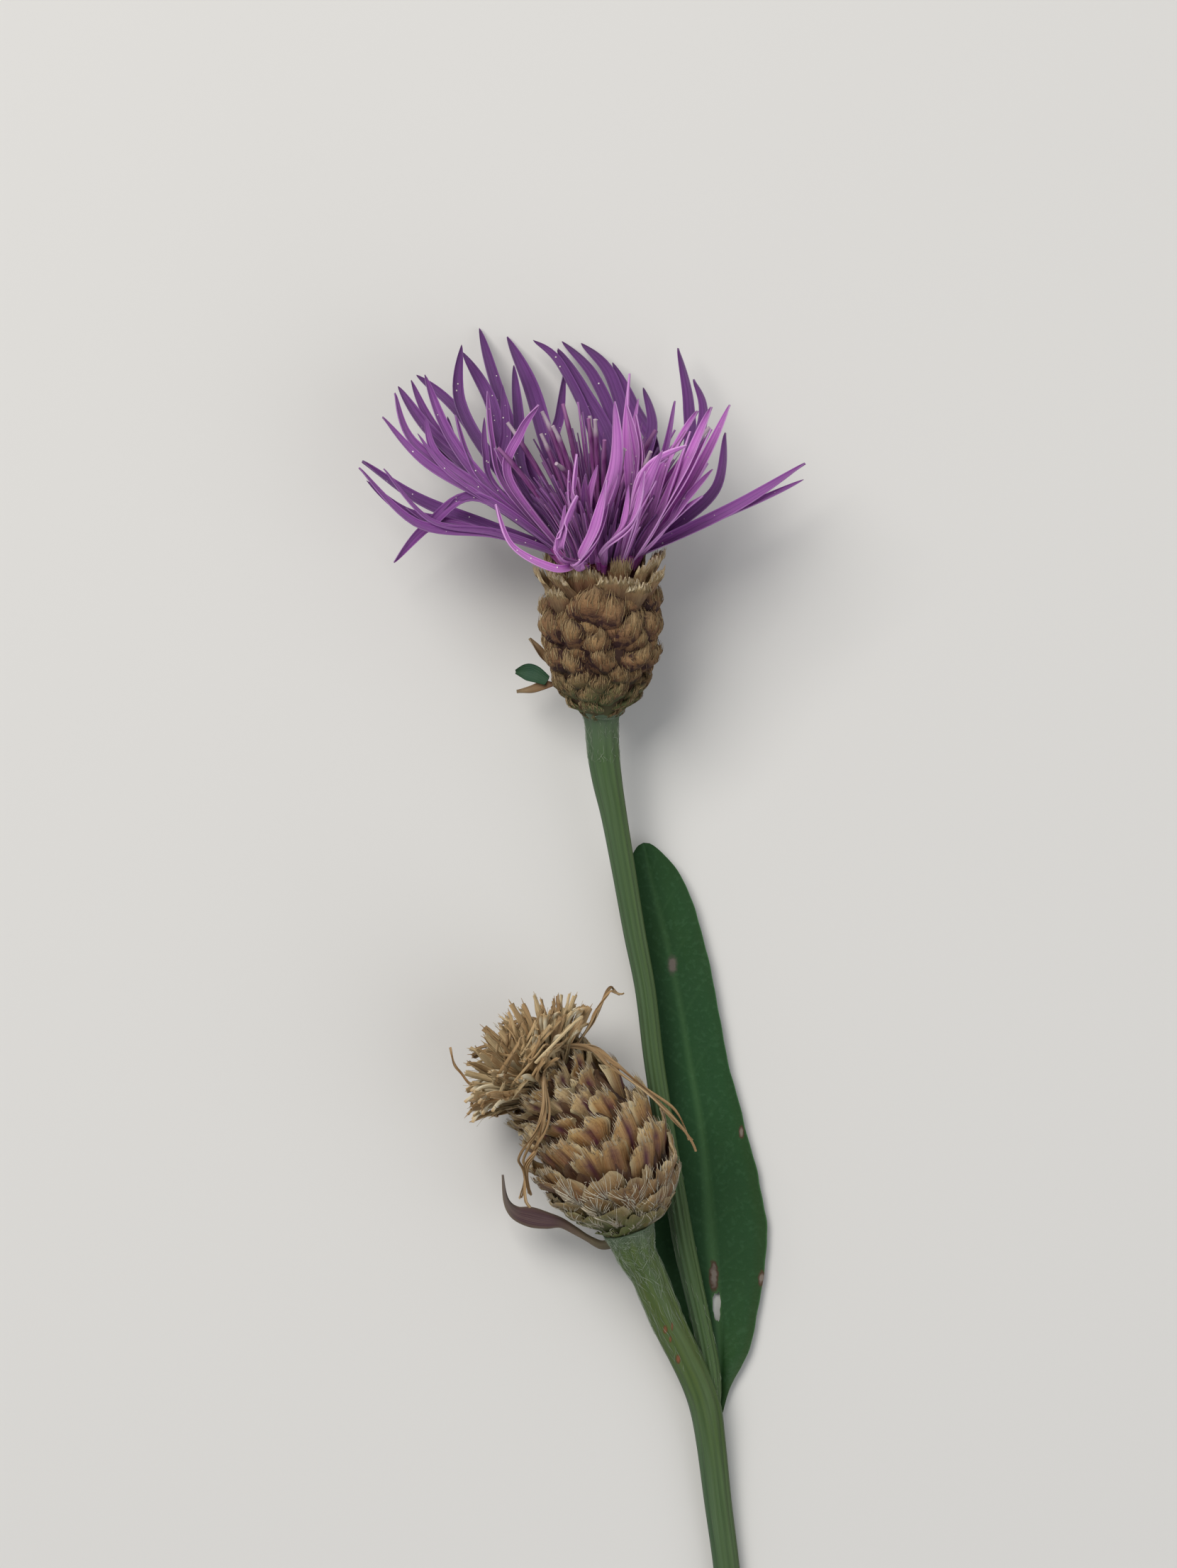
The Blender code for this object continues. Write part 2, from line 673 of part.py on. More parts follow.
def seed_tuft(place):
    """The brush of dry florets in the mouth of the seed head, and the stray ones that slipped out of it."""
    chance = random.Random(13)
    pieces = collection("tuft_pieces")
    core = turned("tuft_core", SEED_PLUG, place, 12, sprig)
    for index in range(TUFT_FLORETS):
        tuft_floret(index, place, chance, pieces)
    for rows in STRAY_FLORETS:
        # The azimuth may pass from 360 on to 0, so each route is kept on one side of the jump.
        rows = [(azimuth + 360 if azimuth < 90 else azimuth, *rest) for azimuth, *rest in rows]

        def path(v):
            azimuth, clearance, height, thickness = through(rows, v)
            azimuth = math.radians(azimuth)
            radius = radius_at(SEED_PROFILE, height) + clearance
            return place(radius * math.cos(azimuth), radius * math.sin(azimuth), height)

        needle("stray_floret", path, lambda v: through(rows, v)[3], 2 * len(rows) - 2, 3, pieces)
    return joined("seedhead_tuft", core, pieces)


def stem():
    """The forked stem, one growth from the cut end to both heads."""
    guide = ribbed_guide(RIB_DEPTH)
    stout = stem_length("stout", STOUT_ROUTE, 18, guide, 0.0, sprig)
    pieces = collection("stem_pieces")
    stem_length("slim", SLIM_ROUTE, 22, guide, 0.0, pieces)
    return levelled(joined("stem", stout, pieces))


def leaf():
    """The leaf, which leaves the fork and lies under the slim stem, with an eaten slit beside its midrib."""
    rows = metres(LEAF_ROUTE)

    def surface(u, v):
        x, y, z, half = through(rows, v)
        ahead = through(rows, min(v + 0.02, 1.0))
        behind = through(rows, max(v - 0.02, 0.0))
        tangent = Vector((ahead[0] - behind[0], ahead[1] - behind[1], 0.0)).normalized()
        side = Vector((tangent.y, -tangent.x, 0.0))
        wave = LEAF_WAVE * math.sin(9 * v + 1.5) if u > 0 else 0.0
        rise = (LEAF_EDGE_RISE if u > 0 else LEAF_WAVE) * math.sin(math.pi * min(v * 1.1, 1.0)) + wave
        return Vector((x, y, z + rise * u * u * MM)) + side * (u * half)

    pieces = collection("leaf_pieces")
    blade = bent_grid("leaf", 4, LEAF_STEPS, surface, pieces)
    clear = stem_length("clear_stout", STOUT_ROUTE, 18, round_guide(12), GAP, pieces)
    blade = solid_object("leaf", cut_clear(blade, clear), pieces)
    clear = stem_length("clear_slim", SLIM_ROUTE, 22, round_guide(12), GAP, pieces)
    blade = solid_object("leaf", cut_clear(blade, clear), pieces)
    bpy.ops.mesh.primitive_cylinder_add(vertices=8, radius=1.0, depth=6 * MM, location=mm(*LEAF_SCAR, 0.6))
    slit = bpy.context.object
    slit.scale = (LEAF_SCAR_SIZE[0] * MM, LEAF_SCAR_SIZE[1] * MM, 1.0)
    mesh = cut_clear(blade, slit)
    bpy.data.collections.remove(pieces)
    return solid_object("leaf", mesh, sprig)


def small_blade(name, route):
    """A narrow bract or leaflet: rows of x, y, z and width along it, its broad face turned up."""
    rows = metres(route)
    group = collection(name + "_piece")
    blade = ribbon(
        name,
        lambda v: Vector(through(rows, v)[:3]),
        lambda v: through(rows, v)[3] / MM,
        lambda point: Vector((0.0, 0.0, 1.0)),
        0.0,
        SMALL_BLADE_STEPS,
        group,
    )
    mesh = baked(blade)
    bpy.data.collections.remove(group)
    return solid_object(name, mesh, sprig)


def build():
    bloom = head_space(BLOOM_BASE, BLOOM_LEAN, BLOOM_RISE, BLOOM_BEND)
    seed = head_space(SEED_BASE, SEED_LEAN, SEED_RISE, SEED_BEND)
    bloom_cup = scaly_head(
        "bloom_involucre", BLOOM_PROFILE, BLOOM_SCALES, BLOOM_SCALE_TIP, BLOOM_BUNDLE, bloom, random.Random(3)
    )
    seed_cup = scaly_head(
        "seedhead_involucre", SEED_PROFILE, SEED_SCALES, SEED_SCALE_TIP, SEED_PLUG, seed, random.Random(11)
    )
    finishes = [
        (stem(), "stem_green", (0.27, 0.38, 0.17), 0.6),
        (leaf(), "leaf_green", (0.07, 0.17, 0.07), 0.55),
        (bloom_cup, "scale_brown", (0.36, 0.23, 0.12), 0.75),
        (bloom_florets(bloom), "floret_purple", (0.5, 0.2, 0.55), 0.55),
        (small_blade("bloom_leaflet", LEAFLET), "leaflet_green", (0.12, 0.22, 0.1), 0.6),
        (seed_cup, "dry_scale", (0.45, 0.3, 0.16), 0.8),
        (seed_tuft(seed), "dry_floret", (0.6, 0.45, 0.27), 0.85),
        (small_blade("dry_bract", DRY_BRACT), "dry_leaf", (0.25, 0.16, 0.15), 0.8),
    ]
    for part, name, colour, roughness in finishes:
        part.data.materials.clear()
        part.data.materials.append(material(name, colour, roughness))
        part.data.shade_smooth()
        part.data.set_sharp_from_angle(angle=math.radians(40))


for old in list(bpy.data.objects):
    bpy.data.objects.remove(old)
sprig = collection("knapweed_sprig")
guides = collection("guides")
build()
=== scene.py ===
"""The looks of a cut knapweed sprig that lies on a pale table, seen from straight above.

Lengths in tables and in head coordinates are millimetres. Meshes are in metres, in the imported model's frame.
"""

import math
import random

import bmesh
import bpy
from mathutils import Matrix, Quaternion, Vector


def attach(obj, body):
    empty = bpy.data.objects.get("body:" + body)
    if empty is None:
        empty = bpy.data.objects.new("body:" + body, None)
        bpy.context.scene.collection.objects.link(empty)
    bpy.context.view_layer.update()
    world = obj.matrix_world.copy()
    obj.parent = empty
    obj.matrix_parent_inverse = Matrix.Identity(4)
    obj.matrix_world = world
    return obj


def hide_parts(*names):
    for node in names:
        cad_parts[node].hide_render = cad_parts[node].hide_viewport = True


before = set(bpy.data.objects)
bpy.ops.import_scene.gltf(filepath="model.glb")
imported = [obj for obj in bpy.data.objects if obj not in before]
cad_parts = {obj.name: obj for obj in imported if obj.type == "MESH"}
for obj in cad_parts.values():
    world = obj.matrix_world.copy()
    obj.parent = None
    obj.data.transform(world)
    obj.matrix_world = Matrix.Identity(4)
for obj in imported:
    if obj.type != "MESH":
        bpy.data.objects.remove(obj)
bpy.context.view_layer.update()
MM = 0.001

# Table, light and camera
# The sprig lies on a matt pale table under two large soft lamps. The camera hangs straight above it on a long
# lens, so that heights hardly shift what they carry.
VIEW_MIDDLE = (0.53, 17.1)
VIEW_HEIGHT = 138.25
LENS = 200.0
SENSOR = 36.0
MEAN_HEIGHT = 6.0
TABLE_SIZE = 3.0
SKY = (0.92, 0.95, 1.0, 1.0)
SKY_STRENGTH = 0.32
# Each lamp: place, size, power, tint.
LAMPS = {
    "window": ((-0.35, 0.42, 0.75), 0.55, 7.0, (1.0, 0.98, 0.95)),
    "fill": ((0.6, -0.3, 0.6), 0.8, 2.2, (0.93, 0.96, 1.0)),
}


def colour(*levels):
    """A colour given as red, green and blue from 0 to 255 as screens show it, for a shader's socket."""
    linear = []
    for level in levels:
        share = level / 255
        linear.append(share / 12.92 if share <= 0.04045 else ((share + 0.055) / 1.055) ** 2.4)
    return (*linear, 1.0)


def new_material(name, roughness, shine=0.25):
    """A material and its shader."""
    made = bpy.data.materials.new(name)
    made.use_nodes = True
    shader = made.node_tree.nodes["Principled BSDF"]
    shader.inputs["Roughness"].default_value = roughness
    shader.inputs["Specular IOR Level"].default_value = shine
    return made, shader


def new_object(name, data):
    made = bpy.data.objects.new(name, data)
    bpy.context.scene.collection.objects.link(made)
    return made


bpy.ops.object.select_all(action="DESELECT")
bpy.ops.mesh.primitive_plane_add(size=TABLE_SIZE, location=(0, 0, 0))
table = bpy.context.object
table.name = "table"
table_finish, shader = new_material("pale_table", 0.85)
shader.inputs["Base Color"].default_value = colour(214, 212, 208)
table.data.materials.append(table_finish)

for name, (spot, size, power, tint) in LAMPS.items():
    lamp = bpy.data.lights.new(name, "AREA")
    lamp.size = size
    lamp.energy = power
    lamp.color = tint
    holder = new_object(name, lamp)
    holder.location = spot
    holder.rotation_euler = (-Vector(spot)).to_track_quat("-Z", "Y").to_euler()
world = bpy.data.worlds.new("studio")
bpy.context.scene.world = world
world.use_nodes = True
world.node_tree.nodes["Background"].inputs["Color"].default_value = SKY
world.node_tree.nodes["Background"].inputs["Strength"].default_value = SKY_STRENGTH
bpy.context.scene.view_settings.view_transform = "Standard"

camera = bpy.data.cameras.new("camera")
camera.lens = LENS
camera.sensor_width = SENSOR
camera.clip_end = 10.0
eye = new_object("camera", camera)
eye.location = (VIEW_MIDDLE[0] * MM, VIEW_MIDDLE[1] * MM, (VIEW_HEIGHT / SENSOR * LENS + MEAN_HEIGHT) * MM)
bpy.context.scene.camera = eye

# Stem
# One growth that forks: a stout length from the cut end into the seed head's branch, and the bloom's slim
# stem. It is a green fibrous stalk with a dozen fine ribs, greyish on one side and yellower on the other.
# Rows of a route: x, y, height, radius.
STOUT_ROUTE = [
    (13.3, -57.5, 0.95, 1.12), (12.7, -51.8, 1.05, 1.12), (12.0, -46.5, 1.3, 1.17), (11.4, -41.4, 1.7, 1.26),
    (10.9, -38.2, 2.1, 1.36), (10.1, -35.8, 2.7, 1.36), (8.9, -33.2, 3.5, 1.38), (7.4, -30.1, 4.6, 1.45),
    (5.8, -26.2, 6.1, 1.52), (4.75, -24.3, 6.95, 1.75), (4.4, -23.1, 7.25, 2.0), (4.05, -22.0, 7.5, 2.3),
]
SLIM_ROUTE = [
    (11.2, -39.8, 1.75, 0.7), (11.4, -37.0, 1.85, 0.85), (11.3, -34.6, 1.9, 0.82), (10.7, -31.4, 2.05, 0.8),
    (9.8, -27.4, 2.25, 0.87), (8.9, -23.2, 2.5, 0.92), (8.1, -18.4, 2.75, 0.86), (7.2, -13.1, 3.05, 0.85),
    (6.3, -7.3, 3.4, 0.84), (5.55, -1.1, 3.75, 0.86), (4.6, 3.9, 4.15, 0.93), (3.65, 9.4, 4.65, 1.0),
    (2.8, 14.2, 5.1, 1.1), (2.2, 17.3, 5.45, 1.27), (1.85, 19.8, 5.75, 1.38), (1.68, 22.68, 6.2, 1.5),
    (1.66, 23.9, 6.6, 2.1),
]
RIBS = 11
RIB_HEIGHT = 0.06
STEM_ACROSS = 66
STOUT_RINGS = 150
SLIM_RINGS = 190
# Rows of a spot: x, y, half width, half length.
RUST_SPOTS = [
    (7.3, -31.0, 0.22, 0.4), (8.45, -33.7, 0.22, 0.45), (7.75, -31.9, 0.13, 0.3), (7.9, -30.7, 0.1, 0.4),
]
PLACE_MARKS = ("across", "along")
WELD = 0.0002
RELIEF = 0.6


def through(rows, share):
    """The place a share of the way along a smooth line through the rows, column by column."""
    at = share * (len(rows) - 1)
    index = min(int(at), len(rows) - 2)
    local = at - index
    ends = rows[max(index - 1, 0)], rows[index], rows[index + 1], rows[min(index + 2, len(rows) - 1)]
    found = []
    for a, b, c, d in zip(*ends):
        curve = 2 * a - 5 * b + 4 * c - d
        ease = 3 * b - a - 3 * c + d
        found.append(b + 0.5 * ((c - a) * local + curve * local**2 + ease * local**3))
    return found


def kept_form(name):
    """The mesh of the form at hand, with marks for its material: each point's place on it, and a tint."""
    form = bpy.context.object
    mesh = form.data
    mesh.name = name
    bpy.data.objects.remove(form)
    for axis, label in enumerate(PLACE_MARKS):
        layer = mesh.attributes.new(label, "FLOAT", "POINT")
        layer.data.foreach_set("value", [vertex.co[axis] for vertex in mesh.vertices])
    mesh.attributes.new("tint", "FLOAT", "POINT")
    return mesh


def flat_form(name, across, along, walled=True):
    """A flat blade to copy: x across from -1 to 1, y along from 0 to 1, and its two faces at z -1 and 1."""
    bpy.ops.object.select_all(action="DESELECT")
    bpy.ops.mesh.primitive_grid_add(x_subdivisions=across, y_subdivisions=along, size=2.0)
    bpy.ops.object.mode_set(mode="EDIT")
    bpy.ops.mesh.select_all(action="SELECT")
    bpy.ops.transform.translate(value=(0, 1, 0))
    bpy.ops.transform.resize(value=(1, 0.5, 1), center_override=(0, 0, 0))
    bpy.ops.object.mode_set(mode="OBJECT")
    if walled:
        wall = bpy.context.object.modifiers.new("wall", "SOLIDIFY")
        wall.thickness = 2.0
        wall.offset = 0.0
        bpy.ops.object.modifier_apply(modifier="wall")
    return kept_form(name)


def growth(name, copies, finish, smooth=60):
    """One piece made of copies. Each copy is a form, a function that places its points, and a tint."""
    bm = bmesh.new()
    for form, place, tint in copies:
        first = len(bm.verts)
        bm.from_mesh(form)
        bm.verts.ensure_lookup_table()
        layer = bm.verts.layers.float["tint"]
        for vertex in bm.verts[first:]:
            vertex.co = place(vertex.co)
            vertex[layer] = tint
    bmesh.ops.remove_doubles(bm, verts=bm.verts, dist=WELD * MM)
    mesh = bpy.data.meshes.new(name)
    bm.to_mesh(mesh)
    bm.free()
    piece = new_object(name, mesh)
    mesh.materials.append(finish)
    mesh.shade_smooth()
    mesh.set_sharp_from_angle(angle=math.radians(smooth))
    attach(piece, "root")
    return piece


def stem_station(route, share):
    """The middle, right-hand side and upper side of a stem, with its radius, all at one place along it."""
    x, y, z, radius = through(route, share)
    ahead = Vector(through(route, min(share + 0.005, 1.0))[:3])
    behind = Vector(through(route, max(share - 0.005, 0.0))[:3])
    tangent = (ahead - behind).normalized()
    side = tangent.cross(Vector((0, 0, 1))).normalized()
    return Vector((x, y, z)), side, side.cross(tangent), radius


def stem_point(station, angle, lift=0.0, opened=1.0):
    """A point on a stem's skin. The angle counts from its upper side to the right."""
    middle, side, up, radius = station
    reach = (radius + RIB_HEIGHT * math.cos(RIBS * angle)) * opened + lift
    return (middle + (up * math.cos(angle) + side * math.sin(angle)) * reach) * MM


def stem_place(route, rings):
    """Rolls a flat form into a stem. Its first and last rows close the ends."""
    stations = {}

    def place(co):
        row = round(co.y * rings)
        if row not in stations:
            stations[row] = stem_station(route, min(max((row - 2) / (rings - 4), 0.0), 1.0))
        point = stem_point(stations[row], math.pi * co.x, opened=min(row, rings - row, 2) / 2)
        point.z = max(point.z, 0.0)
        return point

    return place


class Shading:
    """Steps of shading in one tree of nodes. A value is a socket or fixed."""

    def __init__(self, tree):
        self.tree = tree

    def node(self, kind, given=None, **settings):
        """The outputs of a new node, with its settings, and with its inputs linked or fixed as given."""
        made = self.tree.nodes.new(kind)
        for name, value in settings.items():
            setattr(made, name, value)
        for label, value in (given or {}).items():
            if hasattr(value, "is_output"):
                self.tree.links.new(value, made.inputs[label])
            else:
                made.inputs[label].default_value = value
        return made.outputs

    def mark(self, name):
        return self.node("ShaderNodeAttribute", attribute_name=name)["Fac"]

    def here(self):
        return self.node("ShaderNodeTexCoord")["Object"]

    def step(self, operation, first, second=0.0):
        """One step of arithmetic."""
        return self.node("ShaderNodeMath", {0: first, 1: second}, operation=operation)["Value"]

    def times(self, product, *others):
        for other in others:
            product = self.step("MULTIPLY", product, other)
        return product

    def span(self, value, low, high, to_low=0.0, to_high=1.0):
        """Value taken from its own range to another, and held at the ends."""
        ends = {"From Min": low, "From Max": high, "To Min": to_low, "To Max": to_high}
        return self.node("ShaderNodeMapRange", {"Value": value, **ends})["Result"]

    def noise(self, place, scale):
        given = {"Vector": place, "Scale": scale, "Detail": 3.0}
        return self.node("ShaderNodeTexNoise", given)["Fac"]


def new_group(name, inputs, outputs):
    """The shading of a new group, with its own inputs and outputs."""
    group = bpy.data.node_groups.new(name, "ShaderNodeTree")
    for way, labels in (("INPUT", inputs), ("OUTPUT", outputs)):
        for label in labels:
            group.interface.new_socket(label, in_out=way, socket_type="NodeSocketFloat")
    given = group.nodes.new("NodeGroupInput").outputs
    return Shading(group), given, group.nodes.new("NodeGroupOutput").inputs


def fibre_group():
    """Streaks that run lengthwise, from the marks of where a point lies across and along its form."""
    group, given, found = new_group("fibres", ("Count", "Length"), ("Streaks", "Fine streaks"))
    tint = group.times(group.mark("tint"), 37.0)
    for output, finer in (("Streaks", 1.0), ("Fine streaks", 3.1)):
        across = group.times(group.mark("across"), given["Count"], finer)
        along = group.times(group.mark("along"), given["Length"])
        place = group.node("ShaderNodeCombineXYZ", {"X": across, "Y": along, "Z": tint})["Vector"]
        group.tree.links.new(group.span(group.noise(place, 1.0), 0.32, 0.68), found[output])
    return group.tree


def mottle_group():
    """Soft patches and fine specks by place on the piece."""
    group, given, found = new_group("mottle", ("Patches", "Specks"), ("Patches", "Specks"))
    place = group.here()
    for label in ("Patches", "Specks"):
        group.tree.links.new(group.span(group.noise(place, given[label]), 0.3, 0.7), found[label])
    return group.tree


FIBRES = fibre_group()
MOTTLE = mottle_group()


class Finish(Shading):
    """A material whose colour, body, is laid tone by tone. A tone is red, green and blue from 0 to 255."""

    def __init__(self, name, roughness, fibres=None, mottle=None, shine=0.25):
        self.material, self.shader = new_material(name, roughness, shine)
        super().__init__(self.material.node_tree)
        if fibres:
            self.streaks, self.fine = self.group(FIBRES, fibres)
        if mottle:
            self.patches, self.specks = self.group(MOTTLE, mottle)

    across = property(lambda self: self.mark("across"))
    along = property(lambda self: self.mark("along"))
    tint = property(lambda self: self.mark("tint"))
    wide = property(lambda self: self.step("ABSOLUTE", self.across))

    def group(self, group, values):
        """The outputs of a group that is given values of its own."""
        return self.node("ShaderNodeGroup", dict(enumerate(values)), node_tree=group)

    def place(self):
        """Where a point lies in the model: x, y and z."""
        return self.node("ShaderNodeSeparateXYZ", {"Vector": self.here()})

    def ramp(self, factor, *stops):
        """A colour ramp through stops of place, red, green and blue."""
        made = self.tree.nodes.new("ShaderNodeValToRGB")
        self.tree.links.new(factor, made.inputs["Fac"])
        points = made.color_ramp.elements
        while len(points) < len(stops):
            points.new(0.5)
        for point, (place, *tone) in zip(points, stops):
            point.position = place
            point.color = colour(*tone)
        return made.outputs["Color"]

    def lay(self, tone, *masks, mode="MIX"):
        """Lays a tone, or another colour's socket, over the body, as strongly as the product of the masks."""
        tone = colour(*tone) if isinstance(tone, tuple) else tone
        given = {"Factor": self.times(*masks), "A": self.body, "B": tone}
        self.body = self.node("ShaderNodeMix", given, data_type="RGBA", blend_type=mode)["Result"]

    def spots(self, rows, rim, middle):
        """Lays ragged oval spots."""
        place = self.here()
        for x, y, broad, long in rows:
            scale = (1 / (broad * MM), 1 / (long * MM), 0.0)
            given = {"Vector": place, "Location": (-x / broad, -y / long, 0.0), "Scale": scale}
            near = self.node("ShaderNodeMapping", given)["Vector"]
            distance = self.node("ShaderNodeVectorMath", {0: near}, operation="LENGTH")["Value"]
            reach = self.step("ADD", distance, self.times(self.specks, 0.35))
            self.lay(rim, self.span(reach, 1.3, 0.95))
            self.lay(middle, self.span(reach, 0.95, 0.6))

    def done(self, relief=None, depth=0.00005, roughness=None):
        """The material, once its shader has the body, the relief and a roughness that changes over it."""
        bump = relief
        if relief:
            given = {"Strength": RELIEF, "Distance": depth, "Height": relief}
            bump = self.node("ShaderNodeBump", given)["Normal"]
        for label, value in (("Base Color", self.body), ("Normal", bump), ("Roughness", roughness)):
            if value:
                self.tree.links.new(value, self.shader.inputs[label])
        return self.material


def stem_finish():
    skin = Finish("stem_skin", 0.55, (5.0, 5.0), (160.0, 2600.0))
    _, y, z = skin.place()
    # Grey-green to the left of the upper side, yellower to the right of it and on the branch.
    sides = skin.span(skin.across, -0.45, 0.45)
    skin.body = skin.ramp(sides, (0.0, 66, 88, 70), (0.5, 68, 92, 52), (1.0, 70, 88, 40))
    skin.lay((88, 100, 40), skin.span(z, 0.0025, 0.0045), skin.tint, 0.75)
    ribs = skin.step("COSINE", skin.times(skin.across, RIBS * math.pi))
    skin.lay((36, 56, 28), skin.span(ribs, 0.0, -1.0, 0.0, 0.26))
    skin.lay((98, 118, 84), skin.streaks, 0.5)
    skin.lay((42, 64, 32), skin.fine, 0.4)
    skin.lay((64, 90, 48), skin.patches, 0.25)
    skin.spots(RUST_SPOTS, (88, 66, 34), (122, 78, 52))
    skin.lay((88, 102, 84), skin.span(skin.along, 0.86, 0.97), 0.75)
    # The cut end is pale pith.
    skin.lay((178, 184, 134), skin.span(y, -0.05745, -0.05755))
    return skin.done(skin.fine, 0.00004)


stout_form = flat_form("stout_form", STEM_ACROSS, STOUT_RINGS, False)
slim_form = flat_form("slim_form", STEM_ACROSS, SLIM_RINGS, False)
copies = [
    (stout_form, stem_place(STOUT_ROUTE, STOUT_RINGS), 1.0),
    (slim_form, stem_place(SLIM_ROUTE, SLIM_RINGS), 0.0),
]
stem = growth("stem_skin", copies, stem_finish())
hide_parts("stem")

# Cobweb on the stem
# Fine white hairs lie along the skin, dense on the branch under the seed head and thin elsewhere.
WEB_HAIRS = 1100
WEB_THICKNESS = 0.028
ON_BRANCH = 0.72
COMBED = 0.85


def needle_form(name, sides, steps):
    """A thin spike to copy: a round section of radius 1 in x and z, and y along from 0 to 1."""
    bpy.ops.object.select_all(action="DESELECT")
    bpy.ops.mesh.primitive_cylinder_add(vertices=sides, radius=1.0, depth=1.0)
    mesh = bpy.context.object.data
    bpy.ops.object.mode_set(mode="EDIT")
    bpy.ops.mesh.select_mode(type="EDGE")
    bpy.ops.mesh.select_all(action="DESELECT")
    bpy.ops.object.mode_set(mode="OBJECT")
    for edge in mesh.edges:
        low, high = (mesh.vertices[index].co.z for index in edge.vertices)
        edge.select = abs(high - low) > 0.1
    bpy.ops.object.mode_set(mode="EDIT")
    bpy.ops.mesh.subdivide(number_cuts=steps - 1)
    bpy.ops.mesh.select_mode(type="VERT")
    bpy.ops.object.mode_set(mode="OBJECT")
    for vertex in mesh.vertices:
        x, y, z = vertex.co
        vertex.co = (x, z + 0.5, -y)
    return kept_form(name)


def heading(path, v):
    return (path(min(v + 0.01, 1.0)) - path(max(v - 0.01, 0.0))).normalized()


def along_path(path, width, facing, twist=None, hollow=None, wall=0.1):
    """Lays a form along path(v). It is width(v) broad, faces facing(point), and dishes by hollow(v)."""
    stations = {}

    def place(co):
        v = round(co.y, 4)
        if v not in stations:
            point = path(v)
            tangent = heading(path, v)
            side = tangent.cross(facing(point)).normalized()
            if twist:
                side.rotate(Quaternion(tangent, twist(v)))
            stations[v] = point, side, side.cross(tangent), width(v) / 2, hollow(v) if hollow else 0.0
        point, side, up, half, dish = stations[v]
        return point + (side * (co.x * half) + up * (co.z * wall / 2 + (co.x**2 - 0.35) * dish)) * MM

    return place


def spike(path, thick):
    """Lays a needle's form along path(v), thick(v) through."""
    stations = {}

    def place(co):
        v = round(co.y, 4)
        if v not in stations:
            tangent = heading(path, v)
            side = tangent.orthogonal().normalized()
            stations[v] = path(v), side, side.cross(tangent), thick(v) / 2
        point, side, up, half = stations[v]
        return point + (side * co.x + up * co.z) * (half * MM)

    return place


def web_hair(chance):
    """One hair on the skin of the branch or, more seldom, of the slim stem."""
    on_branch = chance.random() < ON_BRANCH
    route = STOUT_ROUTE if on_branch else SLIM_ROUTE
    start = chance.uniform(0.0, 1.0)
    if on_branch:
        start = 0.5 + 0.48 * start**0.45
    elif start > 0.4:
        start = 0.86 + 0.22 * (start - 0.4)
    angle = chance.uniform(-math.pi * 0.75, math.pi * 0.75)
    turn = chance.uniform(-0.1, 0.1) if chance.random() < COMBED else chance.uniform(-0.8, 0.8)
    reach = chance.uniform(0.015, 0.05) if on_branch else chance.uniform(0.005, 0.02)
    wave = chance.uniform(-0.08, 0.08)

    def path(v):
        station = stem_station(route, min(max(start + reach * (v - 0.5), 0.0), 1.0))
        lift = 0.03 + 0.03 * math.sin(math.pi * v)
        return stem_point(station, angle + turn * v + wave * math.sin(5 * v), lift)

    return spike(path, lambda v: WEB_THICKNESS * (1 - 0.6 * abs(2 * v - 1)))


def tinted_finish(name, low, high):
    """A skin whose tone changes from copy to copy."""
    skin = Finish(name, 0.6)
    skin.body = skin.ramp(skin.tint, (0.0, *low), (1.0, *high))
    return skin.done()


chance = random.Random(31)
hair_form = needle_form("hair_form", 3, 4)
copies = [(hair_form, web_hair(chance), chance.random()) for _ in range(WEB_HAIRS)]
web = growth("stem_cobweb", copies, tinted_finish("cobweb", (112, 128, 102), (172, 182, 162)))

# Leaf
# One lance-shaped leaf grows from the fork and lies under the slim stem. It has a sunk midrib, faint side
# veins, a raised right margin, an eaten slit with a dead patch above it, and a few brown nicks in its edge.
# Rows of its route: x, y, height, half width. Marks on it are given like the stem's spots.
LEAF_ROUTE = [
    (11.9, -38.6, 0.75, 0.55), (12.2, -36.2, 0.5, 1.0), (12.2, -33.2, 0.42, 2.6), (11.9, -28.6, 0.37, 3.9),
    (11.5, -23.4, 0.36, 4.9), (11.1, -18.6, 0.38, 4.6), (10.5, -13.2, 0.42, 3.8), (9.5, -7.6, 0.55, 3.35),
    (8.5, -1.8, 0.75, 3.3), (7.3, 3.8, 0.95, 3.2), (6.2, 8.2, 1.2, 2.7), (5.4, 11.9, 1.5, 1.3),
]
LEAF_WALL = 0.32
LEAF_EDGE_RISE = 0.55
LEAF_WAVE = 0.12
LEAF_GROOVE = 0.16
LEAF_LEFT = 0.3
LEAF_VEINS = 13
LEAF_TIP = 0.9
LEAF_SLIT = (11.9, -29.3, 0.36, 1.45)
SLIT_SIDES = 24
LEAF_DEAD_PATCH = (11.65, -26.6, 0.42, 1.5)
LEAF_NICKS = [(15.9, -26.75, 0.35, 0.7), (14.1, -13.8, 0.25, 0.6)]
LEAF_SCUFF = (7.97, 1.06, 0.5, 0.95)


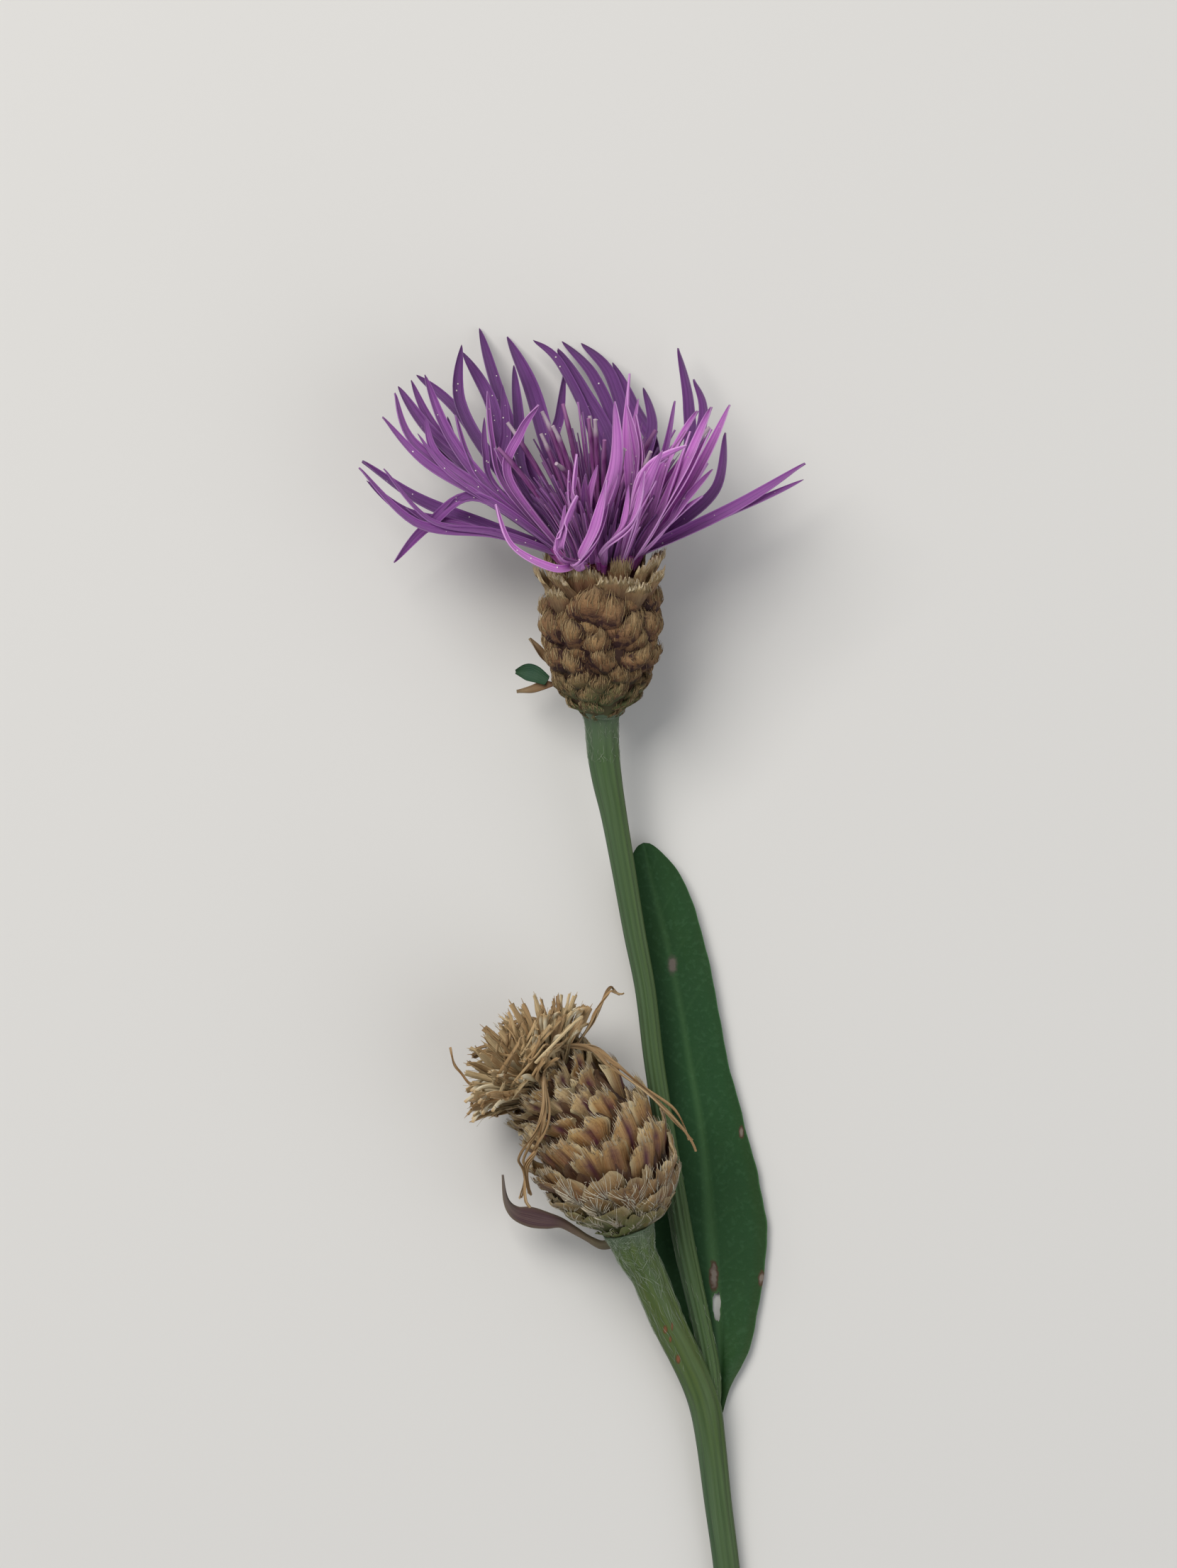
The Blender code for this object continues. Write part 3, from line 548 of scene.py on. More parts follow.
def leaf_place(co):
    u, v = co.x, co.y
    x, y, z, half = through(LEAF_ROUTE, v)
    ahead = through(LEAF_ROUTE, min(v + 0.02, 1.0))
    behind = through(LEAF_ROUTE, max(v - 0.02, 0.0))
    tangent = Vector((ahead[0] - behind[0], ahead[1] - behind[1], 0.0)).normalized()
    side = Vector((tangent.y, -tangent.x, 0.0))
    wave = LEAF_WAVE * math.sin(9 * v + 1.5) if u > 0 else 0.0
    rise = (LEAF_EDGE_RISE if u > 0 else LEAF_WAVE) * math.sin(math.pi * min(v * 1.1, 1.0)) + wave
    groove = -LEAF_GROOVE * math.exp(-((u * half / 0.28) ** 2)) * (1 - 0.6 * v)
    slant = v - 0.06 * abs(u) ** 0.8
    vein = 0.018 * math.cos(2 * math.pi * LEAF_VEINS * slant) * (1 - abs(u)) * min(1, 4 * abs(u))
    tooth = 1.0 + 0.005 * math.sin(150 * v) + 0.008 * math.sin(67 * v + 1)
    thin = 1.0 - 0.55 * abs(u) ** 3
    height = z + rise * u * u + (groove + vein) + co.z * LEAF_WALL / 2 * thin
    if u < 0:
        # The left half is broadest where it passes under the branch.
        half *= 1 + LEAF_LEFT * math.exp(-(((y + 23.5) / 6) ** 2))
    half *= (1 - max((v - LEAF_TIP) / (1 - LEAF_TIP), 0.0) ** 2.2) ** 0.5
    point = Vector((x, y, 0.0)) + side * (u * half * tooth)
    return Vector((point.x, point.y, max(height, 0.02))) * MM


def leaf_finish():
    skin = Finish("leaf_skin", 0.5, (4.0, 7.0), (110.0, 2200.0), shine=0.16)
    low = ((0.0, 70, 98, 54), (0.12, 38, 70, 32))
    skin.body = skin.ramp(skin.along, *low, (0.6, 30, 64, 30), (1.0, 32, 62, 26))
    skin.lay((40, 78, 46), skin.patches, 0.35)
    skin.lay((26, 58, 32), skin.streaks, 0.3)
    skin.lay((70, 108, 74), skin.span(skin.specks, 0.6, 0.9), 0.15)
    # Side veins leave the midrib at a slant and bend forwards.
    slant = skin.step("SUBTRACT", skin.along, skin.times(skin.step("POWER", skin.wide, 0.8), 0.06))
    wave = skin.step("COSINE", skin.times(slant, 2 * math.pi * LEAF_VEINS))
    side_vein = skin.times(skin.span(wave, 0.93, 1.0), skin.span(skin.wide, 1.0, 0.3, 0.0, 0.1))
    skin.lay((66, 100, 62), side_vein)
    skin.lay((74, 108, 66), skin.span(skin.wide, 0.13, 0.02), skin.span(skin.along, 0.9, 0.0, 0.2, 0.62))
    # The raised right margin has a darker band inside its pale edge.
    skin.lay((38, 62, 26), skin.span(skin.across, 0.72, 0.88), skin.span(skin.along, 0.62, 0.45, 0.15, 0.55))
    skin.lay((76, 118, 72), skin.span(skin.wide, 0.97, 1.0), 0.6)
    skin.spots([LEAF_DEAD_PATCH, *LEAF_NICKS], (74, 54, 40), (118, 108, 98))
    skin.spots([LEAF_SCUFF], (62, 74, 54), (100, 92, 84))
    relief = skin.step("ADD", skin.times(skin.specks, 0.5), side_vein)
    return skin.done(relief, 0.00004, skin.span(skin.patches, 0.0, 1.0, 0.42, 0.6))


leaf = growth("leaf_blade", [(flat_form("leaf_form", 36, 150), leaf_place, 0.5)], leaf_finish(), 70)
x, y, broad, long = (value * MM for value in LEAF_SLIT)
bpy.ops.object.select_all(action="DESELECT")
bpy.ops.mesh.primitive_cylinder_add(vertices=SLIT_SIDES, radius=1.0, depth=0.006, location=(x, y, 0.0))
slit = bpy.context.object
slit.scale = (broad, long, 1.0)
bpy.ops.object.transform_apply(location=True, rotation=True, scale=True)
chance = random.Random(5)
nibbles = [1 + chance.uniform(-0.22, 0.12) for _ in range(SLIT_SIDES)]
for vertex in slit.data.vertices:
    angle = math.atan2(vertex.co.y - y, vertex.co.x - x)
    bite = nibbles[round(angle / (2 * math.pi) * SLIT_SIDES) % SLIT_SIDES]
    vertex.co.x = x + (vertex.co.x - x) * bite
    vertex.co.y = y + (vertex.co.y - y) * bite
eaten = leaf.modifiers.new("eaten", "BOOLEAN")
eaten.operation = "DIFFERENCE"
eaten.object = slit
eaten.solver = "EXACT"
bpy.ops.object.select_all(action="DESELECT")
bpy.context.view_layer.objects.active = leaf
leaf.select_set(True)
bpy.ops.object.modifier_apply(modifier="eaten")
bpy.data.objects.remove(slit)
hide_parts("leaf")

# Receptacle of the bloom
# The solid top of the stem that the scales and florets grow from. It is green at the neck, and dark crimson
# where it shows under the florets.
# Rows of a profile: radius, height.
BLOOM_BASE = (1.66, 23.0, 6.3)
BLOOM_RISE = 18.0
BLOOM_MOUTH = 14.1
BLOOM_PROFILE = [
    (1.3, 0.0), (1.8, 0.4), (2.9, 1.4), (3.8, 2.8), (4.5, 4.8), (4.75, 7.4), (4.7, 10.0), (4.4, 12.7),
]
BLOOM_BUNDLE = [(3.6, 12.9), (3.3, 13.6), (3.2, 14.4), (2.4, 15.2)]
CORE_SUNK = 0.5


def head_space(base, lean, rise, bend, mouth):
    """A function from a place in a head to the world: x right, y towards the table, z up its axis."""
    lean, rise, bend = math.radians(lean), math.radians(rise), math.radians(bend)
    axis = Vector((-math.sin(lean) * math.cos(rise), math.cos(lean) * math.cos(rise), math.sin(rise)))
    right = Vector((math.cos(lean), math.sin(lean), 0.0))
    turn = Matrix((right, axis.cross(right), axis)).transposed()

    def place(x, y, z):
        if bend:
            bent = min(z, mouth)
            across, along = math.sin(bend * bent), math.cos(bend * bent)
            straight = z - bent
            z = x * across + across / bend + straight * along
            x = x * along - (1 - along) / bend - straight * across
        return (Vector(base) + turn @ Vector((x, y, z))) * MM

    return place


def round_place(head, radius, azimuth, height):
    return head(radius * math.cos(azimuth), radius * math.sin(azimuth), height)


def radius_at(profile, height):
    for (low_radius, low), (high_radius, high) in zip(profile, profile[1:]):
        if height <= high:
            return low_radius + (high_radius - low_radius) * max(0.0, (height - low) / (high - low))
    return profile[-1][0]


def core_finish(name, top, end):
    core = Finish(name, 0.7, mottle=(600.0, 3000.0))
    low = ((0.12, 92, 104, 62), (0.3, 60, 44, 30), (0.72, 44, 24, 26))
    core.body = core.ramp(core.along, *low, (0.8, *top), (1.0, *end))
    core.lay((70, 42, 34), core.patches, 0.5)
    return core.done(core.specks)


def receptacle(name, head, profile, bundle, finish):
    """A flat form rolled round a head's axis, a little inside its profile."""
    sunk = [(radius - CORE_SUNK * min(1, height / 2), height) for radius, height in profile]
    rows = [(0.0, -0.3), *sunk, *bundle, (0.0, bundle[-1][1] + 0.2)]

    def place(co):
        radius, height = through(rows, co.y)
        return round_place(head, max(radius, 0.0), math.pi / 2 + math.pi * (co.x + 1), height)

    return growth(name, [(flat_form(name, 40, 48, False), place, 0.5)], finish)


bloom = head_space(BLOOM_BASE, 0.0, BLOOM_RISE, 0.0, BLOOM_MOUTH)
crimson = core_finish("receptacle", (62, 10, 16), (86, 24, 40))
receptacle("bloom_receptacle", bloom, BLOOM_PROFILE, BLOOM_BUNDLE, crimson)

# Cup scales of the bloom
# About fifty scales in six rows. Each ends in a plump felted brown cushion, blotched with purple at its
# flanks, and the lowest are small and greenish.
# Rows of scales: height of the low end, count, length, width, lift. The last of BLOOM_SCALES is the rim's.
BLOOM_SCALES = [
    (0.3, 7, 2.2, 1.7, 0.35), (1.6, 8, 2.8, 2.3, 0.5), (3.5, 9, 3.2, 2.7, 0.6), (5.6, 9, 3.5, 3.0, 0.7),
    (7.9, 10, 3.7, 2.8, 0.75), (10.3, 9, 4.0, 3.0, 1.15),
]
SMALL_SCALES = [
    (-1.6, 8, 2.0, 1.3, -0.2), (-0.7, 9, 1.8, 1.4, 0.0), (0.6, 9, 2.2, 1.7, 0.1), (1.5, 9, 2.7, 2.2, -0.4),
    (2.5, 9, 3.0, 2.5, -0.5), (4.5, 10, 3.4, 2.7, -0.5), (6.7, 10, 3.6, 2.9, -0.5), (8.9, 10, 3.6, 2.9, -0.4),
]
# Those that face up are laid one by one: turn from straight up in degrees, tip's height, length, width, lift.
FACING_SCALES = [
    (-13, 13.3, 5.4, 4.5, 1.1), (10, 12.5, 5.0, 3.1, 1.05), (31, 10.8, 4.8, 3.3, 1.05),
    (43, 9.2, 3.4, 2.6, 0.3), (-32, 10.2, 4.6, 3.1, 1.0), (-5, 9.4, 3.8, 2.8, 0.75),
    (4, 7.6, 3.6, 3.0, 0.95), (-33, 7.0, 3.4, 2.7, 0.8), (46, 7.6, 3.6, 3.2, 0.85),
    (-27, 5.2, 2.8, 2.5, 0.75), (-3, 4.9, 2.6, 2.4, 0.75), (22, 5.9, 3.0, 2.6, 0.65),
    (-62, 10.2, 4.2, 3.2, 0.9), (63, 10.3, 4.2, 3.2, 0.9), (-60, 7.0, 3.3, 2.8, 0.75),
    (68, 6.9, 3.3, 2.8, 0.75),
]
FACING_LIMIT = 68
FACING_ROWS = (2, 3, 4)
FACING_SUNK = 0.7
SCALE_SUNK = 0.7
SCALE_DOME = 0.55
CUSHION = 0.72
CUSHION_BREADTH = 1.24
CUSHION_LIFT = 0.45
CUSHION_WALL = 0.5
CUSHION_STRAY = 1.3


def laid_scales(rows, seed, breadth):
    """Every scale of a cup: its row, azimuth, low end, length, width and lift, and a number of its own."""
    chance = random.Random(seed)
    laid = []
    for index, (low, count, length, width, lift) in enumerate(rows):
        for step in range(count):
            azimuth = 2 * math.pi * (step + 0.5 * (index % 2) + chance.uniform(-0.08, 0.08)) / count
            low_end = low + chance.uniform(-0.25, 0.25)
            long = length * chance.uniform(0.9, 1.1)
            broad = width * chance.uniform(0.86, 1.1) * breadth
            lifted = lift * chance.uniform(0.8, 1.2)
            own = (math.sin(azimuth * 91.7 + low_end * 37.3) * 517.3) % 1.0
            laid.append((index, azimuth, low_end, long, broad, lifted, own))
    return laid


def placed_scales(rows, index):
    """Scales laid one by one, in the form that laid_scales gives."""
    laid = []
    for turn, tip, length, width, lift in rows:
        own = (math.sin(turn * 1.7 + tip * 37.3) * 517.3) % 1.0
        laid.append((index, math.radians(turn - 90), tip - length, length, width, lift, own))
    return laid


def faces_up(scale):
    turn = math.degrees(scale[1]) + 90
    return abs((turn + 180) % 360 - 180) < FACING_LIMIT


def scale_skin(profile, scale, outline, bulge, stray, lifted=1.0):
    """A function from a place on a scale to its azimuth, height and distance from the axis."""
    _, azimuth, low, length, width, lift, own = scale
    low += stray * (own - 0.5)
    lift *= lifted
    turn = width / 2 / radius_at(profile, low + length / 2)
    tilt, slant = 0.9 * math.sin(51 * own), 0.6 * math.sin(23 * own)

    def skin(u, v):
        height = low + length * v + slant * u * v * 0.6
        raised = 1.9 * v**2 - 0.9 * v**4
        radius = radius_at(profile, height) - SCALE_SUNK + (lift + SCALE_SUNK) * raised
        radius -= SCALE_DOME * u * u * (0.3 + 0.7 * v)
        radius += bulge(u, v) + 0.24 * tilt * u * v
        edge = 1 + 0.09 * math.sin(5 * v + 40 * own)
        edge += 0.05 * math.sin(11 * v + 17 * own) * (1 if u > 0 else -1)
        return azimuth + (u * outline(v) * edge + 0.25 * slant * v * v) * turn, height, radius

    return skin


def scale_place(head, skin, wall):
    def place(co):
        azimuth, height, radius = skin(co.x, co.y)
        radius -= (1 - co.z) / 2 * wall * (1 - 0.7 * co.x**2) * (1 - 0.5 * co.y)
        return round_place(head, radius, azimuth, height)

    return place


def round_outline(v):
    if v < 0.5:
        return 0.62 + 0.38 * math.sin(math.pi * v)
    return max((1 - ((v - 0.5) / 0.5) ** 3.0) ** 0.5, 0.05)


def plump(scale):
    """The swelling of a felted cushion, least at the neck, with shallow lumps of its own."""
    own = scale[-1]
    size = CUSHION * min(max(0.25 + scale[2] / 6, 0.15), 1.0)

    def bulge(u, v):
        high = math.sin(math.pi * min(max((v - 0.3) / 0.7, 0.0), 1.0)) ** 0.6
        lumps = 0.12 * math.sin(5.5 * u + 30 * own) * math.sin(9 * v + 21 * own)
        return (size * (1 - u * u) ** 0.8 + lumps) * high

    return bulge


def cushion_finish():
    felt = Finish("brown_cushion", 0.8, (6.0, 2.0), (900.0, 4800.0))
    blotches, clouds = felt.group(MOTTLE, (330.0, 1500.0))
    low = ((0.0, 28, 14, 16), (0.42, 62, 34, 28), (0.6, 122, 84, 50))
    felt.body = felt.ramp(felt.along, *low, (0.82, 166, 134, 90), (1.0, 178, 162, 124))
    felt.lay((152, 106, 82), felt.span(felt.tint, 0.4, 0.0, 0.0, 0.6))
    felt.lay((112, 92, 60), felt.span(felt.tint, 0.5, 1.0, 0.0, 0.6))
    felt.lay((172, 140, 100), felt.fine, 0.3)
    felt.lay((88, 56, 38), felt.streaks, 0.25)
    felt.lay((180, 148, 104), felt.specks, 0.35)
    felt.lay((106, 68, 44), blotches, 0.6)
    # The flanks are blotched with purple, and the neck is greenish.
    flank = felt.step("ADD", felt.span(felt.wide, 0.3, 0.85), felt.span(felt.along, 0.72, 0.45))
    flank = felt.times(flank, felt.span(clouds, 0.3, 0.65, 0.2, 1.1))
    felt.lay((44, 22, 30), felt.step("MINIMUM", flank, 0.94))
    felt.lay((74, 50, 34), felt.patches, 0.3)
    _, y, _ = felt.place()
    felt.lay((90, 100, 62), felt.span(y, 0.0272, 0.0238), felt.span(felt.patches, 0.0, 0.5), 0.9)
    return felt.done(felt.step("ADD", felt.fine, felt.specks), 0.00009)


RIM_ROW = len(BLOOM_SCALES) - 1
loose = [
    scale
    for scale in laid_scales(BLOOM_SCALES, 3, CUSHION_BREADTH)
    if scale[0] < RIM_ROW and not (faces_up(scale) and scale[0] in FACING_ROWS)
]
for scale in laid_scales(SMALL_SCALES, 4, CUSHION_BREADTH):
    deep = FACING_SUNK if faces_up(scale) and scale[0] > 3 else 0.0
    loose.append(scale[:5] + (scale[5] - deep, scale[6]))
rows = [(scale, CUSHION_STRAY) for scale in loose]
rows += [(scale, 0.0) for scale in placed_scales(FACING_SCALES, 3)]
scale_form = flat_form("scale_form", 14, 16)
chance = random.Random(17)
cushion_skins = []
copies = []
for scale, stray in rows:
    skin = scale_skin(BLOOM_PROFILE, scale, round_outline, plump(scale), stray, CUSHION_LIFT)
    cushion_skins.append(skin)
    copies.append((scale_form, scale_place(bloom, skin, CUSHION_WALL), chance.random()))
cup = growth("bloom_cup_scales", copies, cushion_finish())
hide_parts("bloom_involucre")

# Rim scales of the bloom
# The uppermost scales are thin and papery, in two rows. They flare out round the florets, and their pale
# edges are toothed like a comb. The tables are read like those of the cup's scales.
INNER_RIM = [(11.4, 9, 3.3, 3.0, 0.1), (9.9, 9, 3.8, 3.0, 0.2)]
FACING_RIM = [
    (25, 15.6, 4.4, 2.5, 0.1), (-10, 14.9, 3.8, 2.9, 0.1), (-34, 14.6, 3.6, 2.6, 0.1),
    (60, 15.2, 4.4, 2.9, 0.6), (-52, 14.4, 3.8, 3.9, 0.95), (20, 14.4, 3.7, 4.1, 1.05),
    (45, 13.4, 3.4, 3.4, 0.95), (-58, 12.6, 3.4, 2.8, 0.8),
]
RIM_STRAY = 1.2
RIM_WALL = 0.28
RIM_TEETH = 9
TOOTH_LENGTH = 0.8
TOOTH_START = 0.82
OUTER_LIFT = 0.4


def rim_outline(v):
    if v < 0.55:
        return 0.6 + 0.4 * math.sin(math.pi * v / 1.1)
    return 1.0 - 0.3 * ((v - 0.55) / 0.45) ** 3


def pleated(own):
    """The folds of a thin papery scale."""

    def bulge(u, v):
        swell = 0.3 * math.sin(math.pi * min(v * 1.15, 1.0)) * (1 - u * u)
        return swell + 0.12 * v * math.cos(6 * u + 25 * own) + 0.07 * math.sin(13 * u + 9 * v) * v * v

    return bulge


def toothed(skin, phase):
    """A scale's skin with its tip cut into teeth."""

    def cut(u, v):
        azimuth, height, radius = skin(u, v)
        if v > TOOTH_START:
            deep = 0.35 + 0.65 * abs(math.sin(7 * u + 5 * phase))
            saw = abs((u * RIM_TEETH / 2 + phase) % 1.0 - 0.5) * 2
            height += TOOTH_LENGTH * deep * (saw - 0.6) * min((v - TOOTH_START) / 0.14, 1.0)
        return azimuth, height - 0.45 * u * u * v * v, radius + 0.25 * v**4

    return cut


def paper_finish():
    paper = Finish("papery_rim", 0.7, (8.0, 1.2), (700.0, 3600.0))
    low = ((0.0, 36, 14, 18), (0.45, 64, 30, 26), (0.62, 94, 56, 36), (0.78, 150, 116, 76))
    paper.body = paper.ramp(paper.along, *low, (0.9, 222, 202, 156), (1.0, 248, 238, 208))
    paper.lay((198, 176, 132), paper.span(paper.tint, 0.5, 1.0, 0.0, 0.3))
    # A low tint darkens the inner scales: painted shade.
    paper.lay((100, 70, 50), paper.span(paper.tint, 0.5, 0.0, 0.0, 0.55))
    paper.lay((132, 96, 60), paper.fine, 0.3)
    paper.lay((180, 156, 114), paper.streaks, 0.3)
    paper.lay((104, 68, 54), paper.patches, 0.6)
    return paper.done(paper.fine, 0.00015)


rim_form = flat_form("rim_form", 52, 16)
loose = [scale for scale in laid_scales(BLOOM_SCALES, 3, 1.0) if scale[0] == RIM_ROW]
loose += laid_scales(INNER_RIM, 6, 1.0)
rows = [(scale, RIM_STRAY) for scale in loose if not faces_up(scale)]
rows += [(scale, 0.0) for scale in placed_scales(FACING_RIM, RIM_ROW)]
rim_skins = []
copies = []
for scale, stray in rows:
    skin = toothed(scale_skin(BLOOM_PROFILE, scale, rim_outline, pleated(scale[-1]), stray), scale[-1])
    rim_skins.append(skin)
    # The outer ones are the palest, and the inner ones are darkened with painted shade.
    shade = chance.uniform(0.7, 1.0) if scale[5] > OUTER_LIFT else chance.uniform(0.0, 0.5)
    copies.append((rim_form, scale_place(bloom, skin, RIM_WALL), shade))
rim = growth("bloom_rim_scales", copies, paper_finish())

# Felt of the bloom's cup
# Short soft hairs cover every cushion and stand past its end as a tattered pale fringe.
FELT_HAIRS = 36
RIM_HAIRS = 34
FELT_THICKNESS = 0.085


def tapered(start, loss, power=1):
    """A width that loses a share of itself towards the tip."""
    return lambda v: start * (1 - loss * v**power)


def felt_hair(head, skin, start, end, low, high, past, lift, thick):
    """A hair combed over a scale's face, outwards from its middle and past its edge."""

    def path(v):
        u = start + (end - start) * v
        along = low + (high - low) * v
        azimuth, height, radius = skin(u, min(along, 1.0))
        beyond = v * v * past
        lean = math.atan2(end, 1.1)
        azimuth += math.sin(lean) * beyond / radius
        return round_place(head, radius + 0.02 + lift * v, azimuth, height + math.cos(lean) * beyond)

    return spike(path, tapered(thick, 0.75))


def fringe_finish(name, low, high):
    hair = Finish(name, 0.7)
    hair.body = hair.ramp(hair.tint, (0.0, *low), (1.0, *high))
    # Each hair is darker towards its root: painted shade.
    root = hair.span(hair.along, 0.0, 0.6, 0.6, 1.0)
    shade = hair.node("ShaderNodeCombineColor", {"Red": root, "Green": root, "Blue": root})["Color"]
    hair.lay(shade, 1.0, mode="MULTIPLY")
    return hair.done()


bristle_form = needle_form("bristle_form", 3, 2)
copies = []
for skin in cushion_skins:
    for step in range(FELT_HAIRS):
        start = -0.85 + 1.7 * (step + chance.random()) / FELT_HAIRS
        end = max(-1.0, min(1.0, start * 1.25 + chance.uniform(-0.12, 0.12)))
        low = 0.46 + 0.46 * chance.random() ** 0.6
        high = min(low + chance.uniform(0.12, 0.25), 1.0)
        past = chance.uniform(0.15, 0.65) if low > 0.72 else 0.0
        hair = felt_hair(bloom, skin, start, end, low, high, past, chance.uniform(0.03, 0.14), FELT_THICKNESS)
        copies.append((bristle_form, hair, chance.random()))
for skin in rim_skins:
    for step in range(RIM_HAIRS):
        start = -0.95 + 1.9 * (step + chance.random()) / RIM_HAIRS
        low = chance.uniform(0.7, 0.92)
        past, lift = chance.uniform(0.1, 0.6), chance.uniform(0.02, 0.12)
        hair = felt_hair(bloom, skin, start, start, low, 1.0, past, lift, FELT_THICKNESS)
        copies.append((bristle_form, hair, chance.uniform(0.75, 1.0)))
felt = growth("bloom_cup_felt", copies, fringe_finish("felt", (96, 68, 44), (188, 164, 122)))

# Ray lobes of the bloom
# The outer florets are long funnels split into narrow pointed lobes. Each lobe is a thin lilac blade, dished
# along its length and finely veined, magenta at its root.
SIXTEENTH = MM / 16
LOWEST_TIP = 0.3
LOBE_WALL = 0.12
LOBE_BREADTH = 0.7
FRONT_HEIGHT = 4.0
FRONT_END = -60
LEFT_END = -240
LEFT_ROOT = -1.0
MOUTH = bloom(0.0, 0.0, BLOOM_MOUTH)
# Three places from the mouth, in sixteenths of a millimetre across and up the table and in millimetres of
# height, and the width.
RAY_LOBES = [
    ((-148, 41, 1.0), (-258, 55, 2.0), (-339, 133, 2.5), 1.3),
    ((-190, 52, 0.2), (-273, 72, 0.3), (-329, 116, 0.8), 1.2),
    ((-158, 52, -1.0), (-258, 92, -2.2), (-337, 145, -3.4), 1.7),
    ((-173, 92, 1.8), (-248, 49, -0.3), (-292, 3, -2.6), 1.4),
    ((-158, 85, 1.6), (-248, 142, 1.6), (-307, 205, 0.6), 1.2),
    ((-168, 102, 0.9), (-263, 169, 0.8), (-290, 239, 0.3), 1.5),
    ((-168, 117, -0.2), (-243, 187, -1.2), (-286, 250, -2.4), 1.9),
    ((-168, 107, -0.8), (-238, 197, -2.0), (-268, 259, -2.8), 1.3),
    ((-158, 107, 0.6), (-216, 182, 0.2), (-248, 265, -0.2), 1.7),
    ((-148, 137, -2.0), (-208, 222, -4.4), (-261, 269, -6.6), 1.7),
    ((-148, 137, -1.4), (-200, 227, -3.0), (-197, 310, -4.2), 1.8),
    ((-128, 137, -2.2), (-160, 237, -5.0), (-196, 302, -7.2), 1.9),
    ((-108, 137, -3.0), (-148, 252, -6.6), (-173, 338, -10.4), 1.9),
    ((-136, 107, 1.0), (-155, 177, 1.6), (-160, 241, 1.2), 1.0),
    ((-148, 107, 0.4), (-163, 157, 0.4), (-164, 205, 0.0), 0.9),
    ((-133, 117, -0.4), (-134, 187, -1.4), (-139, 252, -2.6), 1.4),
    ((-130, 117, 2.6), (-113, 182, 4.0), (-88, 220, 4.4), 1.2),
    ((-73, 157, -3.4), (-100, 252, -7.0), (-134, 326, -10.4), 2.2),
    ((14, 157, -3.2), (-28, 247, -6.2), (-62, 307, -8.8), 2.3),
    ((-8, 167, -3.6), (-56, 282, -6.6), (-96, 320, -8.4), 1.2),
    ((-65, 157, -3.4), (-59, 212, -5.6), (-52, 277, -7.6), 1.3),
    ((20, 177, -4.2), (-10, 267, -7.6), (-55, 320, -10.4), 1.5),
    ((37, 157, -4.0), (14, 267, -7.4), (-28, 317, -10.4), 1.7),
    ((77, 147, -3.0), (45, 227, -5.8), (16, 288, -8.4), 1.7),
    ((-3, 47, 4.4), (20, 137, 8.4), (18, 220, 10.6), 1.8),
    ((42, 77, 3.2), (36, 187, 5.4), (39, 262, 6.2), 1.3),
    ((47, 77, 3.8), (50, 147, 6.8), (36, 217, 8.0), 1.4),
    ((42, 52, 5.2), (64, 127, 8.2), (118, 160, 9.0), 1.4),
    ((47, 57, 5.6), (60, 102, 8.4), (84, 152, 10.6), 1.6),
    ((67, 62, 3.4), (97, 147, 6.4), (134, 209, 7.4), 1.8),
    ((77, 57, 4.2), (117, 132, 7.2), (153, 214, 8.2), 2.0),
    ((87, 47, 2.8), (142, 142, 4.8), (179, 219, 5.4), 1.5),
    ((102, 52, -0.8), (162, 107, -1.6), (175, 185, -2.6), 1.8),
    ((117, 137, -2.2), (124, 227, -5.0), (109, 308, -7.4), 1.6),
    ((112, 107, -0.8), (144, 207, -1.2), (130, 260, -1.8), 1.4),
    ((77, 107, 1.0), (93, 167, 1.6), (103, 227, 1.8), 1.3),
    ((92, 52, 4.0), (122, 92, 5.0), (155, 129, 5.4), 1.1),
    ((92, 32, 0.4), (192, 82, 1.2), (285, 139, 2.2), 1.6),
    ((92, 30, 0.2), (207, 82, 0.9), (283, 117, 1.4), 1.0),
    ((-60, 8, 5.2), (-47, 54, 7.6), (-33, 90, 9.6), 1.4),
    ((-34, -6, 5.2), (-10, 44, 8.0), (8, 112, 9.2), 1.7),
    ((6, 18, 5.4), (44, 58, 8.4), (60, 124, 9.8), 1.3),
    ((-42, 52, 3.2), (-40, 97, 6.2), (-35, 149, 8.0), 1.1),
    ((-66, -9, 5.3), (-125, 22, 6.4), (-148, 80, 6.2), 1.2),
    ((-22, 47, 2.4), (-16, 92, 4.4), (-5, 135, 5.4), 1.2),
    ((-110, 87, 1.0), (-128, 122, 2.4), (-150, 160, 3.2), 1.0),
    ((57, 132, -1.6), (72, 197, -3.4), (60, 250, -5.0), 1.5),
    ((-110, 127, -1.4), (-118, 212, -3.6), (-124, 282, -5.6), 1.6),
]


def from_mouth(x, y, z):
    return MOUTH + Vector((x * SIXTEENTH, y * SIXTEENTH, z * MM))


def lobe_width(width):
    """A strap's width along it, with a short pointed tip."""

    def at(v):
        if v < 0.45:
            return width * (0.45 + 0.55 * math.sin(math.pi * v / 0.9))
        return width * (1 - 0.96 * ((v - 0.45) / 0.55) ** 2.6)

    return at


